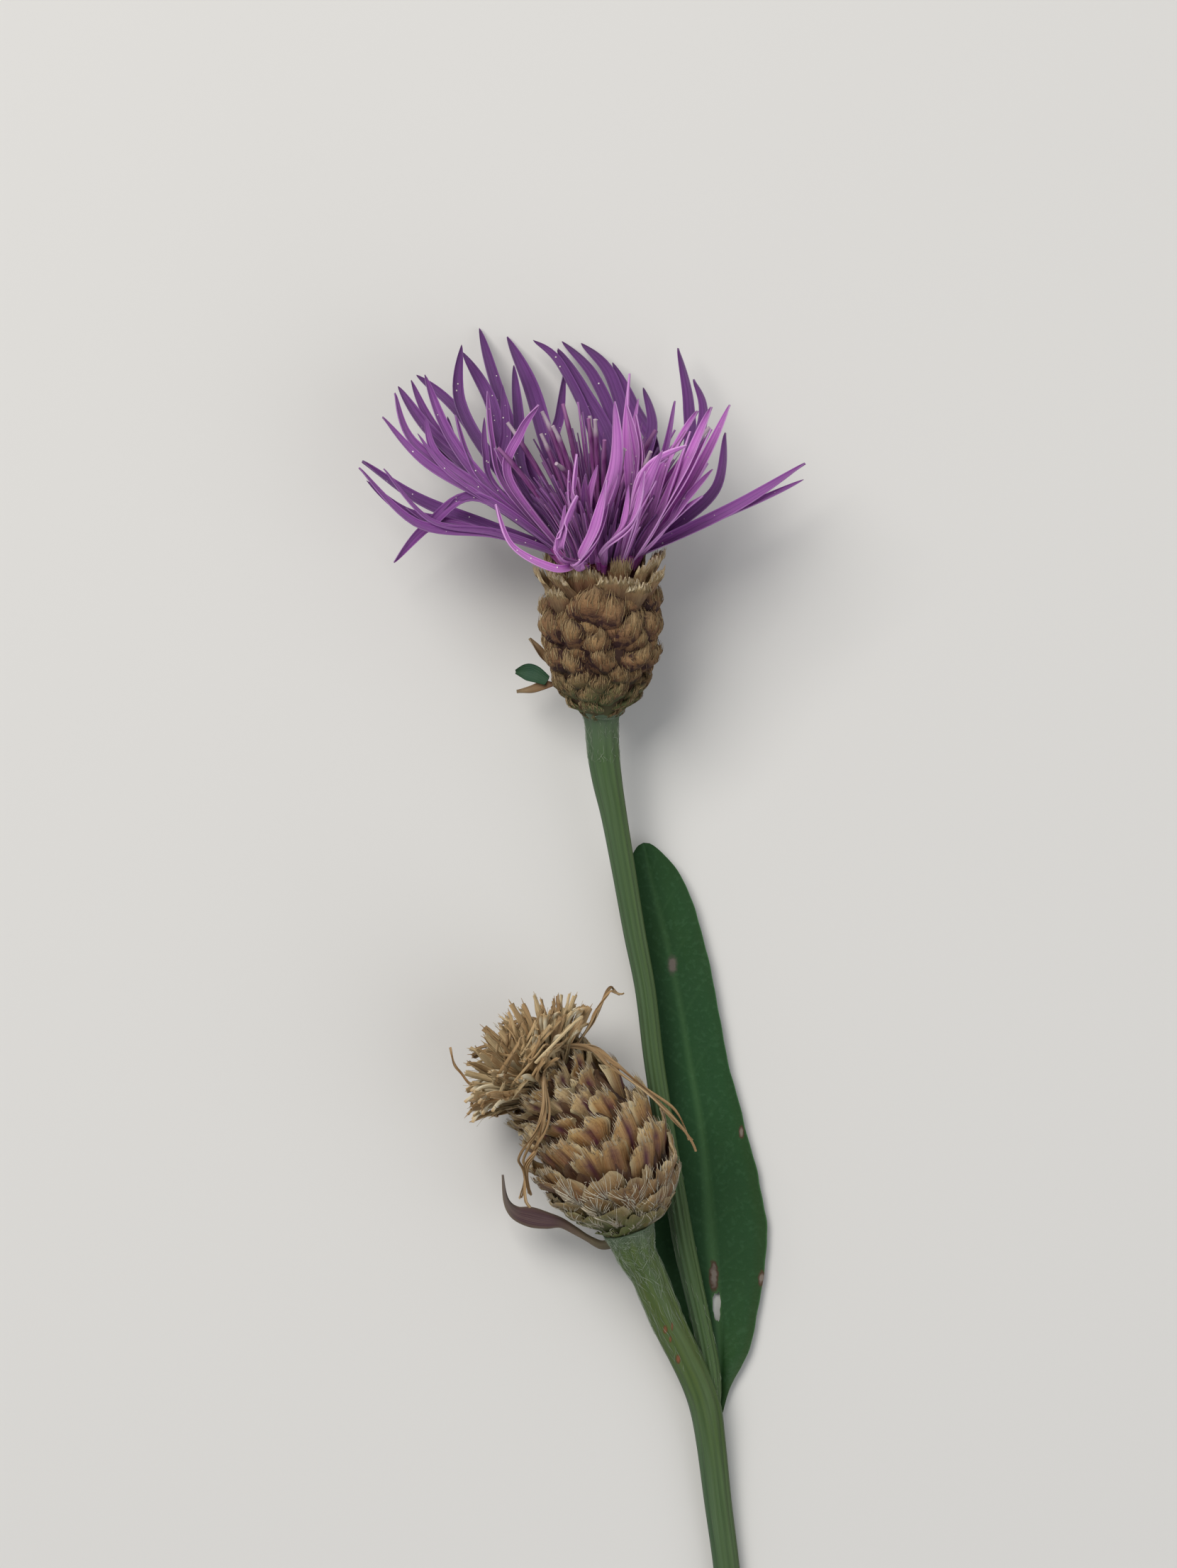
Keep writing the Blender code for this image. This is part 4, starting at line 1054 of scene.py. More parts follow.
def ray_lobe(row, twist):
    """A lobe's path, and the function that lays a form on it."""
    *stations, width = row
    points = [from_mouth(*station) for station in stations]
    for point in points:
        point.z = max(point.z, LOWEST_TIP * MM)
    outward = points[0] - MOUTH
    across = outward.dot(bloom(1, 0, 0) - bloom(0, 0, 0))
    under = outward.dot(bloom(0, 1, 0) - bloom(0, 0, 0))
    points.insert(0, round_place(bloom, 3.1, math.atan2(under, across), BLOOM_MOUTH + 0.6))
    above = bloom(0.0, 0.0, 30.0)
    upwards = 1.0 if (above - points[2]).normalized().z > -0.3 else -1.0

    def path(v):
        return Vector(through(points, v))

    def facing(point):
        return (above - point).normalized() + Vector((0.0, 0.0, upwards))

    def hollow(v):
        return width * (0.2 + 0.1 * math.sin(7 * v + 9 * twist)) * (1 - 0.6 * v)

    def turn(v):
        return twist * v + 0.3 * math.sin(5 * v + 20 * twist) + 0.5 * max(v - 0.75, 0) * math.sin(30 * twist)

    return path, along_path(path, lobe_width(width * LOBE_BREADTH), facing, turn, hollow, LOBE_WALL)


def petal_finish(name, root, middle, tip, vein, light):
    petal = Finish(name, 0.5, (4.0, 1.4), (260.0, 5200.0))
    petal.body = petal.ramp(petal.along, (0.0, *root), (0.25, *middle), (0.8, *middle), (1.0, *tip))
    petal.lay(light, petal.span(petal.wide, 0.75, 0.0), 0.3)
    petal.lay(vein, petal.streaks, 0.45)
    petal.lay(light, petal.fine, 0.4)
    petal.lay(vein, petal.patches, 0.2)
    lines = petal.step("COSINE", petal.times(petal.across, 3 * math.pi))
    petal.lay(vein, petal.span(lines, 0.5, 1.0, 0.0, 0.4))
    petal.lay(light, petal.span(petal.wide, 0.8, 1.0), 0.5)
    # The tint darkens and blues the colour: painted shade by height on the ray lobes, a tone that differs at
    # random on the disc lobes.
    hue_and_depth_shade = petal.ramp(petal.tint, (0.0, 255, 252, 255), (0.5, 186, 176, 198), (1.0, 132, 122, 150))
    petal.lay(hue_and_depth_shade, 1.0, mode="MULTIPLY")
    shader = petal.shader.inputs
    shader["Subsurface Weight"].default_value = 0.25
    shader["Subsurface Radius"].default_value = (0.6, 0.25, 0.6)
    shader["Subsurface Scale"].default_value = 0.0008
    shader["Sheen Weight"].default_value = 0.12
    return petal.done(petal.fine, 0.00006)


def beside(row, sides):
    """A shorter, narrower lobe of the same floret, a little to one side of it."""
    (x, y, z), middle, end, width = row
    short = sides.uniform(0.55, 0.9)
    aside = sides.choice((-1, 1)) * sides.uniform(7, 15)
    bearing = math.atan2(end[1] - y, end[0] - x)
    stations = [(x, y, z)]
    for share, station in ((0.5, middle), (1.0, end)):
        along = [start + (now - start) * short for start, now in zip((x, y, z), station)]
        off = aside * share
        stations.append((along[0] - off * math.sin(bearing), along[1] + off * math.cos(bearing), along[2]))
    return (*stations, width * sides.uniform(0.55, 0.8))


chance = random.Random(7)
tints = random.Random(23)
sides = random.Random(37)
lobe_form = flat_form("lobe_form", 8, 28)
lobes = []
copies = []
front = [row for row in RAY_LOBES if row[1][2] > FRONT_HEIGHT and row[2][0] > FRONT_END]
left = [row for row in RAY_LOBES if row[2][0] < LEFT_END and row[0][2] > LEFT_ROOT]
for row in RAY_LOBES + [beside(row, sides) for row in front * 2 + left]:
    path, place = ray_lobe(row, math.radians(chance.uniform(-25, 25)))
    lobes.append((path, place))
    # The lobes that lie lowest get the most painted shade: their tint makes them bluer and darker.
    depth = 0.74 - 0.12 * row[1][2] + tints.uniform(-0.18, 0.18)
    copies.append((lobe_form, place, min(max(depth, 0.0), 1.0)))
lilac = petal_finish(
    "ray_lobe", (146, 50, 140), (210, 114, 208), (160, 88, 166), (128, 52, 140), (242, 186, 242)
)
rays = growth("bloom_ray_lobes", copies, lilac)
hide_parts("bloom_florets")

# Floret tubes
# Every outer floret is a thin pale tube inside the cup, and turns lilac where it opens into its lobes.
TUBE_THICKNESS = 0.4


def tube_to(path):
    """A line from inside the cup up to the root of a lobe."""
    high = path(0.07)
    azimuth = math.atan2(high.z - MOUTH.z, high.x - MOUTH.x)
    low = round_place(bloom, 2.6, -azimuth, BLOOM_MOUTH - 1.2)
    return lambda v: low + (high - low) * v


def tube_finish():
    tube = Finish("floret_tube", 0.5, (3.0, 3.0))
    tube.body = tube.ramp(tube.along, (0.0, 196, 160, 170), (0.6, 168, 96, 156), (1.0, 128, 46, 124))
    tube.lay((158, 80, 142), tube.streaks, 0.4)
    return tube.done()


tube_form = needle_form("tube_form", 8, 6)
copies = []
for path, _ in lobes:
    copies.append((tube_form, spike(tube_to(path), tapered(TUBE_THICKNESS, -0.5)), tints.random()))
tubes = growth("bloom_floret_tubes", copies, tube_finish())

# Disc florets of the bloom
# The inner florets are shorter and stand crowded in the middle, each split into fine pointed lobes. Every
# fourth one has only its anther column, which is modelled further on.
DISC_FLORETS = 39
FINE_LOBES = 300
GOLDEN_ANGLE = math.radians(137.508)
DISC_RADIUS = 3.1


def disc_path(share, azimuth, length):
    """A line from the disc out and up, the more flared the further out it starts."""
    start = DISC_RADIUS * math.sqrt(share)
    flare = 0.2 + 0.5 * share

    def path(v):
        reach = start + length * flare * v * (0.5 + 0.3 * v)
        height = BLOOM_MOUTH + 0.9 + length * v * (1 - 0.12 * flare * v)
        return round_place(bloom, reach, azimuth, height)

    return path


def facing_axis(head):
    return lambda point: head(0.0, 0.0, 60.0) - point


copies = []
columns = []
fine_form = flat_form("fine_lobe_form", 4, 10)
inwards = facing_axis(bloom)
for index in range(DISC_FLORETS):
    share = (index + 0.5) / DISC_FLORETS
    if index % 4 == 2:
        columns.append(disc_path(share, index * GOLDEN_ANGLE, chance.uniform(10.5, 13.0)))
        continue
    path = disc_path(share, index * GOLDEN_ANGLE, chance.uniform(5.0, 8.5))
    width = tapered(tints.uniform(0.6, 0.85), 0.93, 2.2)
    copies.append((fine_form, along_path(path, width, inwards, None, lambda v: 0.12, 0.1), tints.random()))
for index in range(FINE_LOBES):
    share = (index + 0.5) / FINE_LOBES
    azimuth = index * GOLDEN_ANGLE * 1.7
    # Those behind the disc are the longest.
    behind = 0.5 + 0.5 * math.sin(azimuth)
    path = disc_path(share, azimuth, tints.uniform(3.0, 7.0) + tints.uniform(0.5, 6.5) * behind)
    width = tapered(tints.uniform(0.35, 0.65), 0.92, 1.8)
    turn = lambda v, twist=tints.uniform(-1.2, 1.2): twist * (0.5 + v)
    copies.append((fine_form, along_path(path, width, inwards, turn, lambda v: 0.1, 0.09), tints.random()))
magenta = petal_finish(
    "disc_lobe", (96, 26, 92), (168, 68, 160), (206, 140, 206), (108, 34, 112), (228, 164, 228)
)
disc = growth("bloom_disc_lobes", copies, magenta)

# Anther columns
# Slim dark magenta tubes stand above the disc, some with a grey-white brush of pollen and a pale style at the
# end. Tips are given like the ray lobes' places.
ANTHER_TIPS = [
    (-83, 211, 3.4), (-68, 190, 4.4), (-18, 201, 4.0), (-9, 199, 4.8), (-63, 137, 5.6), (76, 186, 2.2),
]


def anther_to(tip):
    end = from_mouth(*tip)
    root = bloom(tip[0] / 40, 0.3, BLOOM_MOUTH + 0.8)
    lifted = root + (bloom(0, 0, 6) - bloom(0, 0, 0)) + (end - root) * 0.12
    return lambda v: root * (1 - v) ** 2 + lifted * (2 * v * (1 - v)) + end * v**2


def anther_thickness(v):
    if v < 0.6:
        return 0.32
    return 0.46 if v < 0.88 else 0.34


def anther_finish():
    anther = Finish("anther_column", 0.5, (3.0, 9.0))
    low = ((0.0, 160, 84, 156), (0.5, 118, 40, 114))
    anther.body = anther.ramp(anther.along, *low, (0.8, 98, 28, 96), (1.0, 146, 84, 140))
    brush = anther.times(anther.span(anther.along, 0.84, 0.9), anther.span(anther.tint, 0.35, 0.5))
    anther.lay((186, 174, 178), brush, 0.85)
    anther.lay((186, 148, 184), anther.streaks, 0.3)
    return anther.done()


column_form = needle_form("column_form", 8, 14)
columns += [anther_to(tip) for tip in ANTHER_TIPS]
copies = []
for index, path in enumerate(columns):
    copies.append((column_form, spike(path, anther_thickness), 0.2 + 0.8 * (index % 3 > 0)))
anthers = growth("bloom_anther_columns", copies, anther_finish())

# Pollen on the bloom
# White grains have fallen from the anthers onto the lobes.
POLLEN_GRAINS = 200


def grain_place(centre, radius):
    return lambda co: centre + co * (radius * MM)


bpy.ops.object.select_all(action="DESELECT")
bpy.ops.mesh.primitive_ico_sphere_add(subdivisions=2, radius=1.0)
grain_form = kept_form("grain_form")
copies = []
for index in range(POLLEN_GRAINS):
    _, place = lobes[tints.randrange(len(lobes))]
    spot = place(Vector((tints.uniform(-0.7, 0.7), round(tints.uniform(0.1, 0.9) ** 1.5, 4), 1.0)))
    copies.append((grain_form, grain_place(spot, tints.uniform(0.03, 0.08)), tints.random()))
pollen = growth("bloom_pollen", copies, tinted_finish("pollen", (206, 196, 190), (246, 240, 236)))

# Leaflet beside the bloom's neck
# A small green leaf folded along its middle grows just under the cup, and dry brown scraps cling beside it.
# Rows: x, y, height, width.
LEAFLET = [(-3.1, 26.2, 5.9, 0.9), (-4.2, 26.8, 5.5, 1.5), (-5.0, 27.0, 5.2, 1.4), (-5.9, 27.0, 5.0, 0.35)]
SCRAPS = [
    [(-2.7, 27.6, 6.1, 0.3), (-3.4, 28.4, 6.3, 0.7), (-4.0, 29.1, 6.6, 0.6), (-4.7, 29.9, 6.8, 0.15)],
    [(-2.6, 25.9, 5.8, 0.4), (-3.4, 25.8, 5.6, 0.8), (-4.5, 25.4, 5.4, 0.7), (-5.8, 25.2, 5.3, 0.2)],
]
UP = Vector((0.0, 0.0, 1.0))


def small_blade(rows, hollow, wall, turn=0.0):
    def path(v):
        return Vector(through(rows, v)[:3]) * MM

    def width(v):
        return through(rows, v)[3]

    return along_path(path, width, lambda point: UP, lambda v: turn * v, lambda v: hollow, wall)


def blade_finish(name, low, middle, tip, vein):
    blade = Finish(name, 0.6, (6.0, 1.2), (600.0, 3200.0))
    blade.body = blade.ramp(blade.along, (0.0, *low), (0.5, *middle), (1.0, *tip))
    blade.lay(vein, blade.patches, 0.4)
    blade.lay(vein, blade.fine, 0.5)
    return blade.done(blade.streaks)


blade_form = flat_form("blade_form", 10, 30)
green = blade_finish("leaflet", (34, 64, 38), (30, 62, 44), (46, 74, 46), (54, 84, 60))
leaflet = growth("bloom_leaflet_blade", [(blade_form, small_blade(LEAFLET, 0.22, 0.16), 0.5)], green)
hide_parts("bloom_leaflet")
dry = blade_finish("dry_scrap", (96, 66, 46), (142, 114, 80), (176, 156, 122), (96, 70, 50))
copies = [(blade_form, small_blade(rows, 0.2, 0.12, 0.7), 0.5) for rows in SCRAPS]
scraps = growth("bloom_neck_scraps", copies, dry)

# Receptacle of the seed head
# The dried top of the branch, green at the neck, dark where it shows between the scales that grow from it.
SEED_BASE = (4.03, -22.4, 7.45)
SEED_LEAN = 8.0
SEED_RISE = 4.0
SEED_BEND = 2.6
SEED_MOUTH = 14.2
SEED_PROFILE = [
    (1.6, 0.0), (3.1, 1.0), (4.6, 2.5), (5.35, 5.0), (5.25, 8.0), (4.6, 11.0), (4.2, 12.7), (3.9, 13.4)
]
SEED_PLUG = [(2.7, 13.7), (3.2, 14.5), (3.5, 15.3), (2.6, 16.2)]
seed = head_space(SEED_BASE, SEED_LEAN, SEED_RISE, SEED_BEND, SEED_MOUTH)
withered = core_finish("dry_receptacle", (52, 30, 20), (84, 54, 34))
receptacle("seed_receptacle", seed, SEED_PROFILE, SEED_PLUG, withered)

# Cup scales of the seed head
# Papery dead scales in seven rows, wider than the bloom's. Each is tan with fine veins and a purple streak
# down its middle, opens like a fan, and has a pale end, torn and split. The tables are read like the bloom's.
SEED_SCALES = [
    (0.5, 7, 3.1, 2.4, 0.7), (2.1, 8, 3.6, 3.2, 0.9), (4.1, 9, 3.9, 3.5, 1.2), (6.3, 9, 4.0, 3.4, 1.35),
    (8.5, 9, 3.9, 3.1, 1.3), (10.5, 8, 3.7, 2.9, 1.1), (12.0, 8, 3.3, 2.6, 0.9),
]
BASE_SCALES = [(-1.3, 10, 2.5, 1.7, 0.45), (-0.2, 9, 2.5, 2.0, 0.25), (1.4, 9, 3.2, 2.7, 0.55)]
SUNK_SCALES = [
    (3.2, 9, 3.8, 3.2, 0.0), (5.3, 10, 4.0, 3.3, 0.1), (7.5, 10, 4.0, 3.2, 0.1), (9.6, 9, 3.9, 3.0, 0.1),
    (11.6, 9, 3.6, 2.7, 0.2),
]
TOP_SCALES = [(13.0, 9, 2.9, 2.5, 0.7)]
FACING_FANS = [
    (17, 15.8, 2.8, 2.6, 0.7), (42, 14.4, 3.0, 2.8, 0.7), (-30, 15.6, 3.0, 2.6, 0.6),
    (-3, 14.5, 3.1, 3.1, 0.75), (17, 13.2, 3.0, 2.9, 0.75), (-45, 13.6, 3.6, 3.0, 0.65),
    (38, 12.1, 3.6, 3.1, 0.7), (-20, 12.8, 3.2, 3.3, 0.8), (3, 11.2, 3.8, 4.0, 0.9),
    (-56, 11.2, 4.4, 3.3, 0.7), (62, 10.4, 3.6, 3.3, 0.7), (33, 9.8, 4.4, 3.6, 0.95),
    (-30, 10.8, 5.4, 4.0, 0.75), (-66, 8.8, 5.0, 3.3, 0.7), (-13, 8.9, 4.4, 3.2, 1.0),
    (9, 8.5, 4.2, 3.6, 0.7), (60, 8.0, 3.8, 3.3, 0.85), (36, 7.2, 3.8, 3.5, 0.8),
    (66, 5.4, 4.0, 3.3, 0.75),
]
SILKY_FANS = [
    (-46, 7.2, 5.2, 4.2, 0.65), (-12, 5.9, 5.0, 4.4, 0.6), (16, 5.0, 4.2, 3.8, 0.6),
    (41, 4.4, 3.8, 3.2, 0.5),
]
# How deep the ends are torn, row by row of SEED_SCALES and then for the other tables.
TEARS = (0.3, 0.45, 1.0, 1.15, 1.15, 1.0, 0.8)
FACING_TEAR = 0.85
SILKY_TEAR = 0.7
BASE_TEAR = 0.35
TOP_TEAR = 0.8
SUNK_TEAR = 0.9
# The tint of the sunk scales, which darkens them with painted shade.
SUNK_SHADE_TINT = 1.6
FAN_BREADTH = 1.16
FAN_STRAY = 1.1
FAN_WALL = 0.26
PALE_HEIGHT = 10.0


def fan_outline(v):
    if v < 0.75:
        return 0.5 + 0.5 * math.sin(math.pi * v / 1.5)
    return 1.0 - 0.28 * ((v - 0.75) / 0.25) ** 2


def cheeks(own):
    """Two swellings beside a sunk midrib, and a few creases."""

    def bulge(u, v):
        swell = math.sin(math.pi * min(max((v - 0.2) / 0.8, 0.0), 1.0)) ** 0.7
        side = 0.15 * abs(math.sin(math.pi * min(abs(u) * 1.1, 1.0))) ** 0.8
        side -= 0.1 * math.exp(-((u / 0.16) ** 2))
        crease = 0.07 * math.sin(9 * u + 30 * own + 4 * v)
        return (side + crease) * swell

    return bulge


def torn(skin, chance, depth):
    """A scale's skin with its end split in the middle and torn into unequal shreds, some turned up."""
    count = chance.randint(7, 12)
    points = [chance.uniform(-0.3, 0.9) for _ in range(count)]
    curls = [chance.uniform(-0.3, 0.9) for _ in range(count)]
    notch = chance.uniform(-0.2, 1.0)
    skew = chance.uniform(-0.35, 0.35)

    def at(values, u):
        place = (u + 1) / 2 * (count - 1)
        index = min(int(place), count - 2)
        return values[index] + (values[index + 1] - values[index]) * (place - index)

    def cut(u, v):
        azimuth, height, radius = skin(u, v)
        end = max(v - 0.62, 0.0) / 0.38
        split = notch * math.exp(-(((u - skew) / 0.2) ** 2))
        height += depth * end**1.6 * (at(points, u) - 0.8 * u * u - 0.9 * split + skew * u)
        radius += 0.5 * depth * end**2 * at(curls, u)
        return azimuth, height, radius

    return cut


def dry_scale_finish():
    fan = Finish("dry_scale", 0.55, (7.0, 1.1), (520.0, 4200.0))
    # The near-black base of each scale is painted shade for the gaps under the scales above it.
    low = ((0.0, 34, 14, 12), (0.34, 62, 28, 16), (0.5, 126, 72, 34))
    fan.body = fan.ramp(fan.along, *low, (0.72, 162, 110, 54), (0.88, 184, 150, 94), (1.0, 222, 206, 164))
    fan.lay((222, 204, 160), fan.span(fan.tint, 0.3, 0.0, 0.0, 0.8))
    fan.lay((126, 80, 38), fan.span(fan.tint, 0.4, 1.0, 0.0, 0.6))
    fan.lay((168, 138, 92), fan.patches, 0.35)
    fan.lay((192, 166, 116), fan.fine, 0.5)
    fan.lay((98, 62, 34), fan.streaks, 0.5)
    fan.lay((70, 42, 30), fan.span(fan.specks, 0.6, 0.95), 0.35)
    fan.lay((206, 190, 150), fan.span(fan.wide, 0.7, 0.95), fan.span(fan.along, 0.4, 0.7), 0.8)
    # The middle is streaked with purple.
    centre = fan.times(fan.span(fan.wide, 0.34, 0.04), fan.span(fan.along, 1.0, 0.72))
    fan.lay((84, 40, 56), centre, fan.span(fan.patches, 0.2, 0.6, 0.45, 1.0), 0.95)
    # The sunk scales are darkened to near black: painted shade between the rows.
    fan.lay((52, 26, 16), fan.span(fan.tint, 1.1, SUNK_SHADE_TINT, 0.0, 0.8))
    # The neck is darker, and green where it joins the branch.
    _, y, _ = fan.place()
    fan.lay((84, 60, 40), fan.span(y, -0.0145, -0.0175, 0.0, 0.45))
    fan.lay((92, 104, 54), fan.span(y, -0.0192, -0.0218), fan.span(fan.patches, 0.2, 0.5, 0.45, 1.0), 0.85)
    fan.shader.inputs["Coat Weight"].default_value = 0.12
    return fan.done(fan.step("ADD", fan.fine, fan.streaks), 0.00009)


torn_form = flat_form("torn_form", 24, 11)
chance = random.Random(29)
seed_skins = []
copies = []
loose = laid_scales(SEED_SCALES, 11, FAN_BREADTH)
rows = [(scale, TEARS[scale[0]], FAN_STRAY) for scale in loose if scale[0] == 0 or not faces_up(scale)]
rows += [(scale, FACING_TEAR, 0.0) for scale in placed_scales(FACING_FANS, 3)]
rows += [(scale, SILKY_TEAR, 0.0) for scale in placed_scales(SILKY_FANS, 3)]
more = ((BASE_SCALES, 12, BASE_TEAR), (TOP_SCALES, 19, TOP_TEAR), (SUNK_SCALES, 19, SUNK_TEAR))
for scales, number, tear in more:
    rows += [(scale, tear, FAN_STRAY) for scale in laid_scales(scales, number, FAN_BREADTH)]
for scale, depth, stray in rows:
    skin = torn(scale_skin(SEED_PROFILE, scale, fan_outline, cheeks(scale[-1]), stray), chance, depth)
    seed_skins.append((depth, skin))
    # The uppermost scales are the palest, and the sunk ones get the tint of painted shade.
    shade = chance.uniform(0.0, 0.3) if scale[2] > PALE_HEIGHT else chance.uniform(0.2, 1.0)
    copies.append((torn_form, scale_place(seed, skin, FAN_WALL), SUNK_SHADE_TINT if depth == SUNK_TEAR else shade))
cup = growth("seed_cup_scales", copies, dry_scale_finish())
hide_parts("seedhead_involucre")

# Silky fringes of the seed head's cup
# The lowest scales are combed over with long silky grey hairs. The others keep a short fringe on
# their torn ends.
SILKY_DEPTH = 0.75
SILK_HAIRS = 34
FRINGE_HAIRS = 20
SILK_THICKNESS = 0.1

silk_form = needle_form("silk_form", 3, 5)
copies = []
for depth, skin in seed_skins:
    if depth == SUNK_TEAR:
        continue
    if depth < SILKY_DEPTH:
        for step in range(SILK_HAIRS):
            end = -1.0 + 2.0 * (step + chance.uniform(0.1, 0.9)) / SILK_HAIRS
            low = chance.uniform(0.2, 0.7)
            past = chance.uniform(0.1, 0.7)
            lift = chance.uniform(0.0, 0.2)
            high = low + chance.uniform(0.25, 0.45)
            hair = felt_hair(seed, skin, 0.2 * end, end, low, high, past, lift, SILK_THICKNESS)
            copies.append((silk_form, hair, chance.uniform(0.4, 1.0)))
    else:
        for step in range(FRINGE_HAIRS):
            start = -1.0 + 2.0 * (step + chance.uniform(0.1, 0.9)) / FRINGE_HAIRS
            past = chance.uniform(0.25, 0.6)
            lift = chance.uniform(0.0, 0.1)
            hair = felt_hair(seed, skin, start, start, 0.9, 1.0, past, lift, SILK_THICKNESS)
            copies.append((bristle_form, hair, chance.uniform(0.0, 0.8)))
silk = growth("seed_cup_fringe", copies, fringe_finish("silk", (150, 120, 82), (214, 208, 188)))

# Tuft of dry florets
# The withered florets make a loose round brush. They are flat, twisted straws with frayed ends.
TUFT_FLORETS = 78
TUFT_REACH = 8.3
TUFT_SPREAD = 68.0
TUFT_ROOT = 15.3
TUFT_RADIUS = 3.0
THIN_STRAWS = 110
FRAYS = 2


def tuft_path(share, azimuth, reach, bow, swing, kink=0.0):
    """A line from the seed head's mouth to the rim of the brush."""
    radius = TUFT_RADIUS * math.sqrt(share)
    opening = math.radians(TUFT_SPREAD) * share**0.6

    def path(v):
        out = radius + (reach * math.sin(opening) - radius) * v
        up = TUFT_ROOT + (reach * math.cos(opening) + SEED_MOUTH - TUFT_ROOT) * v + 4 * bow * v * (1 - v)
        wander = swing * v + kink * math.sin(8 * v) * v
        return round_place(seed, out + kink * math.sin(6 * v + 20 * swing) * v, azimuth + wander, up)

    return path


def straw_finish(name):
    straw = Finish(name, 0.62, (4.0, 3.0))
    low = ((0.0, 118, 82, 46), (0.3, 160, 122, 78))
    straw.body = straw.ramp(straw.tint, *low, (0.65, 190, 158, 112), (1.0, 214, 194, 152))
    straw.lay((72, 42, 24), straw.span(straw.along, 0.05, 0.5, 1.0, 0.0), 0.85)
    straw.lay((112, 76, 42), straw.streaks, 0.45)
    straw.lay((222, 198, 154), straw.fine, 0.5)
    return straw.done(straw.fine, 0.00006)


chance = random.Random(13)
tints = random.Random(41)
straw_form = flat_form("straw_form", 4, 12)
fray_form = needle_form("fray_form", 3, 3)
copies = []
inwards = facing_axis(seed)


def add_straw(path, broad):
    """A twisted straw and the loose fibres of its frayed end."""
    twist = tints.uniform(-1.3, 1.3)
    fold = tints.uniform(0.05, 0.2)
    shade = tints.random()

    def turn(v):
        return twist * v + 0.4 * math.sin(6 * v + 5 * twist)

    place = along_path(path, tapered(broad, 0.3, 3), inwards, turn, lambda v: fold, 0.1)
    copies.append((straw_form, place, shade))
    ahead = (path(1.0) - path(0.85)).normalized()
    for _ in range(FRAYS):
        stray = Vector([tints.uniform(-0.25, 0.25) for _ in range(3)])
        start = path(0.97)
        long = tints.uniform(0.2, 0.6) * MM
        line = lambda v, start=start, go=(ahead + stray) * long: start + go * v
        copies.append((fray_form, spike(line, tapered(0.13, 0.7)), shade))


for index in range(TUFT_FLORETS):
    share = (index + 0.5) / TUFT_FLORETS
    reach = TUFT_REACH * chance.uniform(0.88, 1.06)
    bow = chance.uniform(0.1, 0.9)
    swing = chance.uniform(-0.25, 0.25)
    add_straw(tuft_path(share, index * GOLDEN_ANGLE, reach, bow, swing, 0.06), tints.uniform(0.5, 0.95))
for index in range(THIN_STRAWS):
    share = (index + 0.5) / THIN_STRAWS
    reach = TUFT_REACH * tints.uniform(0.7, 1.04)
    swing, kink = tints.uniform(-0.6, 0.6), tints.choice((0.12, 0.25, 0.6))
    path = tuft_path(share, index * GOLDEN_ANGLE * 1.7, reach, tints.uniform(0, 1.3), swing, kink)
    add_straw(path, tints.uniform(0.25, 0.45))
tuft = growth("seed_tuft_straws", copies, straw_finish("straw"))
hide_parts("seedhead_tuft")

# Ivory slivers of the tuft
# Stiff, shiny, cream-coloured bracts stand among the straws like fine chips of wood.
SLIVERS = 44


def sliver_finish():
    ivory = Finish("ivory_sliver", 0.42, (3.0, 0.8))
    low = ((0.0, 138, 102, 62), (0.35, 198, 182, 144))
    ivory.body = ivory.ramp(ivory.along, *low, (0.85, 226, 218, 192), (1.0, 188, 156, 110))
    ivory.lay((182, 152, 108), ivory.fine, 0.35)
    return ivory.done(ivory.streaks, 0.00004)


copies = []
for index in range(SLIVERS):
    share = tints.uniform(0.45, 1.0)
    reach = TUFT_REACH * tints.uniform(0.78, 1.0)
    bow = tints.uniform(0.5, 1.4)
    path = tuft_path(share, math.pi * tints.uniform(0.8, 2.1), reach, bow, tints.uniform(-0.1, 0.1))
    start = tints.uniform(0.05, 0.25)
    part = lambda v, path=path, start=start: path(start + (1 - start) * v)
    broad = tints.uniform(0.45, 0.7)
    width = lambda v, broad=broad: broad * (0.35 + 0.65 * math.sin(math.pi * min(v * 1.15, 1.0)) ** 0.6)
    place = along_path(part, width, inwards, lambda v: 0.3, lambda v: 0.16, 0.12)
    copies.append((straw_form, place, tints.random()))
slivers = growth("seed_tuft_slivers", copies, sliver_finish())

# Bristles of the tuft
# Fine olive-grey bristles from the receptacle stand between the straws.
TUFT_BRISTLES = 260
copies = []
for index in range(TUFT_BRISTLES):
    share = (index + 0.5) / TUFT_BRISTLES
    reach = TUFT_REACH * tints.uniform(0.75, 1.02)
    bow, swing = tints.uniform(0.0, 0.9), tints.uniform(-0.4, 0.4)
    path = tuft_path(share, index * GOLDEN_ANGLE * 2.3, reach, bow, swing, 0.08)
    copies.append((silk_form, spike(path, tapered(0.12, 0.7)), tints.random()))
bristles = growth("seed_tuft_bristles", copies, fringe_finish("tuft_bristle", (108, 88, 58), (186, 170, 132)))

